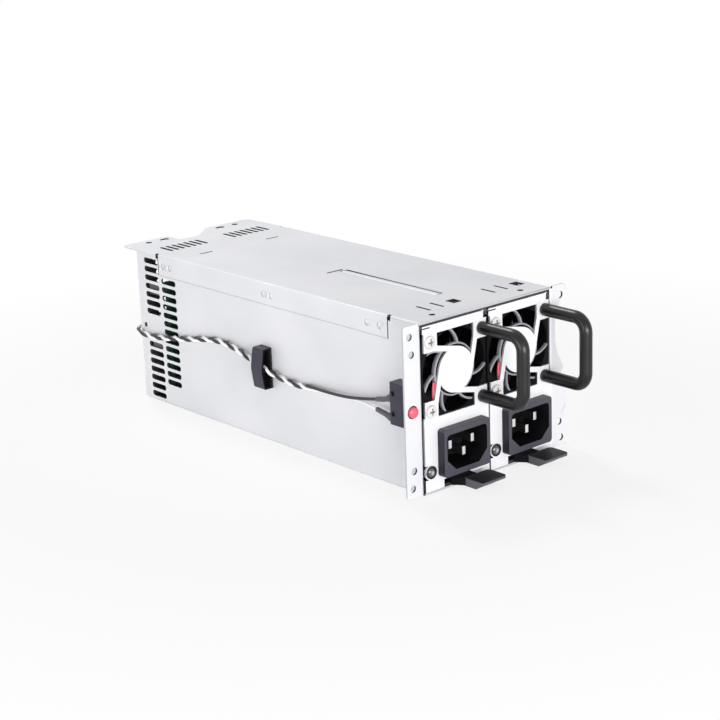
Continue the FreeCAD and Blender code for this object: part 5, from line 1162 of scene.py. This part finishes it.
# ---- stage ----
FLOOR_HALF, FLOOR_DROP = 9.0, 0.1 * MM
FLOOR_WHITE = (0.80, 1.0)       # share of plain white in the floor's look, near the part and far from it
FLOOR_REACH = (0.18, 0.36)      # metres from the middle at which the first ends and the second begins
LAMP_AIM = Vector((0, 0, 0.04))
LAMPS = (("Front", (-0.35, -1.2, 0.15), (0.8, 0.28), 12.4), ("Side", (-1.2, -0.1, 0.15), (0.8, 0.28), 5.1),
         ("Rear", (0.10, 0.63, 0.97), (0.20, 0.20), 4.8))       # name, place, sides and watts


class SUPPLY_OT_stage(bpy.types.Operator):
    """Set up the camera, lamps, floor and sky"""
    bl_idname = "supply.stage"
    bl_label = "Stage"

    def execute(self, context):
        stage = settings("supply_stage")
        scene = context.scene
        scene.view_settings.view_transform = "Standard"
        self.camera(scene, stage)
        self.floor(scene, stage.floor)
        self.sky(scene, stage.sky)
        for name, place, (wide, tall), watts in LAMPS:
            lamp = bpy.data.lights.new(name, "AREA")
            lamp.shape = "RECTANGLE"
            lamp.size, lamp.size_y = wide, tall
            lamp.energy = watts
            lit = bpy.data.objects.new(name, lamp)
            lit.location = place
            lit.rotation_euler = (LAMP_AIM - Vector(place)).to_track_quat("-Z", "Y").to_euler()
            scene.collection.objects.link(lit)
        return {"FINISHED"}

    def camera(self, scene, stage):
        camera = bpy.data.objects.new("Camera", bpy.data.cameras.new("Camera"))
        camera.data.lens = stage.lens
        camera.data.sensor_width = 36.0
        camera.data.clip_start = 0.01
        turn = Vector(stage.look).to_track_quat("-Z", "Y").to_matrix() @ Matrix.Rotation(stage.roll, 3, "Z")
        camera.matrix_world = Matrix.Translation(Vector(stage.place)) @ turn.to_4x4()
        scene.collection.objects.link(camera)
        scene.camera = camera

    def seen(self, tree):
        """1 for a ray from the camera, off a shiny face or through glass, and 0 for one that only lights."""
        rays = tree.nodes.new("ShaderNodeLightPath").outputs
        straight = calc(tree, "MAXIMUM", rays["Is Camera Ray"], rays["Is Glossy Ray"])
        return calc(tree, "MAXIMUM", straight, rays["Is Transmission Ray"])

    def floor(self, scene, tint):
        """Pale floor that takes the part's shadow, and fades to plain white away from it."""
        made, tree, shader, place = new_material("Studio floor", Roughness=0.9)
        pale = mix_colour(tree, noise(tree, place, 3.0), opaque(tint), opaque(tint, 0.985))
        tree.links.new(pale, shader.inputs["Base Color"])
        glow = node(tree, "ShaderNodeEmission", {"Color": (1, 1, 1, 1), "Strength": 1.0})
        away = node(tree, "ShaderNodeVectorMath", {0: place}, operation="LENGTH").outputs["Value"]
        white = calc(tree, "MULTIPLY", self.seen(tree), remap(tree, away, *FLOOR_WHITE, *FLOOR_REACH))
        blend = node(tree, "ShaderNodeMixShader", {0: white, 1: shader.outputs[0], 2: glow.outputs[0]})
        tree.links.new(blend.outputs[0], tree.nodes["Material Output"].inputs["Surface"])
        mesh = bpy.data.meshes.new("Floor")
        corners = ((-1, -1), (1, -1), (1, 1), (-1, 1))
        mesh.from_pydata([(FLOOR_HALF * x, FLOOR_HALF * y, -FLOOR_DROP) for x, y in corners], [], [range(4)])
        mesh.materials.append(made)
        ground = bpy.data.objects.new("Floor", mesh)
        scene.collection.objects.link(ground)

    def sky(self, scene, strength):
        """Even light from all round, which the camera and shiny faces see as white."""
        world = bpy.data.worlds.new("Studio sky")
        world.use_nodes = True
        scene.world = world
        tree = world.node_tree
        light = tree.nodes["Background"]
        light.inputs["Color"].default_value = (0.97, 0.98, 1.0, 1)
        light.inputs["Strength"].default_value = strength
        white = node(tree, "ShaderNodeBackground", {"Color": (1, 1, 1, 1), "Strength": 1.0})
        blend = node(tree, "ShaderNodeMixShader",
                     {0: self.seen(tree), 1: light.outputs[0], 2: white.outputs[0]})
        tree.links.new(blend.outputs[0], tree.nodes["World Output"].inputs["Surface"])


# ---- panel, classes and the order of the steps ----
class SUPPLY_PT_panel(bpy.types.Panel):
    """Settings, and a button for every step"""
    bl_idname = "SUPPLY_PT_panel"
    bl_label = "Power supply"
    bl_space_type = "VIEW_3D"
    bl_region_type = "UI"
    bl_category = "Supply"

    def draw(self, context):
        for name, group in GROUPS.items():
            box = self.layout.box()
            for setting in group.__annotations__:
                box.prop(getattr(context.scene, name), setting)
        for operator in OPERATORS:
            self.layout.operator(operator.bl_idname)


GROUPS = {"supply_sheet": SheetSettings, "supply_plastic": PlasticSettings, "supply_leads": LeadSettings,
          "supply_stage": StageSettings}
OPERATORS = (SUPPLY_OT_finishes, SUPPLY_OT_sheet_metal, SUPPLY_OT_mouldings, SUPPLY_OT_screws,
             SUPPLY_OT_handles, SUPPLY_OT_fans, SUPPLY_OT_leads, SUPPLY_OT_switch, SUPPLY_OT_lamps,
             SUPPLY_OT_electronics, SUPPLY_OT_stage)


def register():
    for item in (*GROUPS.values(), *OPERATORS, SUPPLY_PT_panel):
        bpy.utils.register_class(item)
    for name, group in GROUPS.items():
        setattr(bpy.types.Scene, name, bpy.props.PointerProperty(type=group))


def unregister():
    for name in GROUPS:
        delattr(bpy.types.Scene, name)
    for item in (SUPPLY_PT_panel, *reversed(OPERATORS), *reversed(GROUPS.values())):
        bpy.utils.unregister_class(item)


def main():
    """Build everything in order."""
    register()
    for operator in OPERATORS:
        group, name = operator.bl_idname.split(".")
        getattr(getattr(bpy.ops, group), name)()


if __name__ == "__main__":
    main()
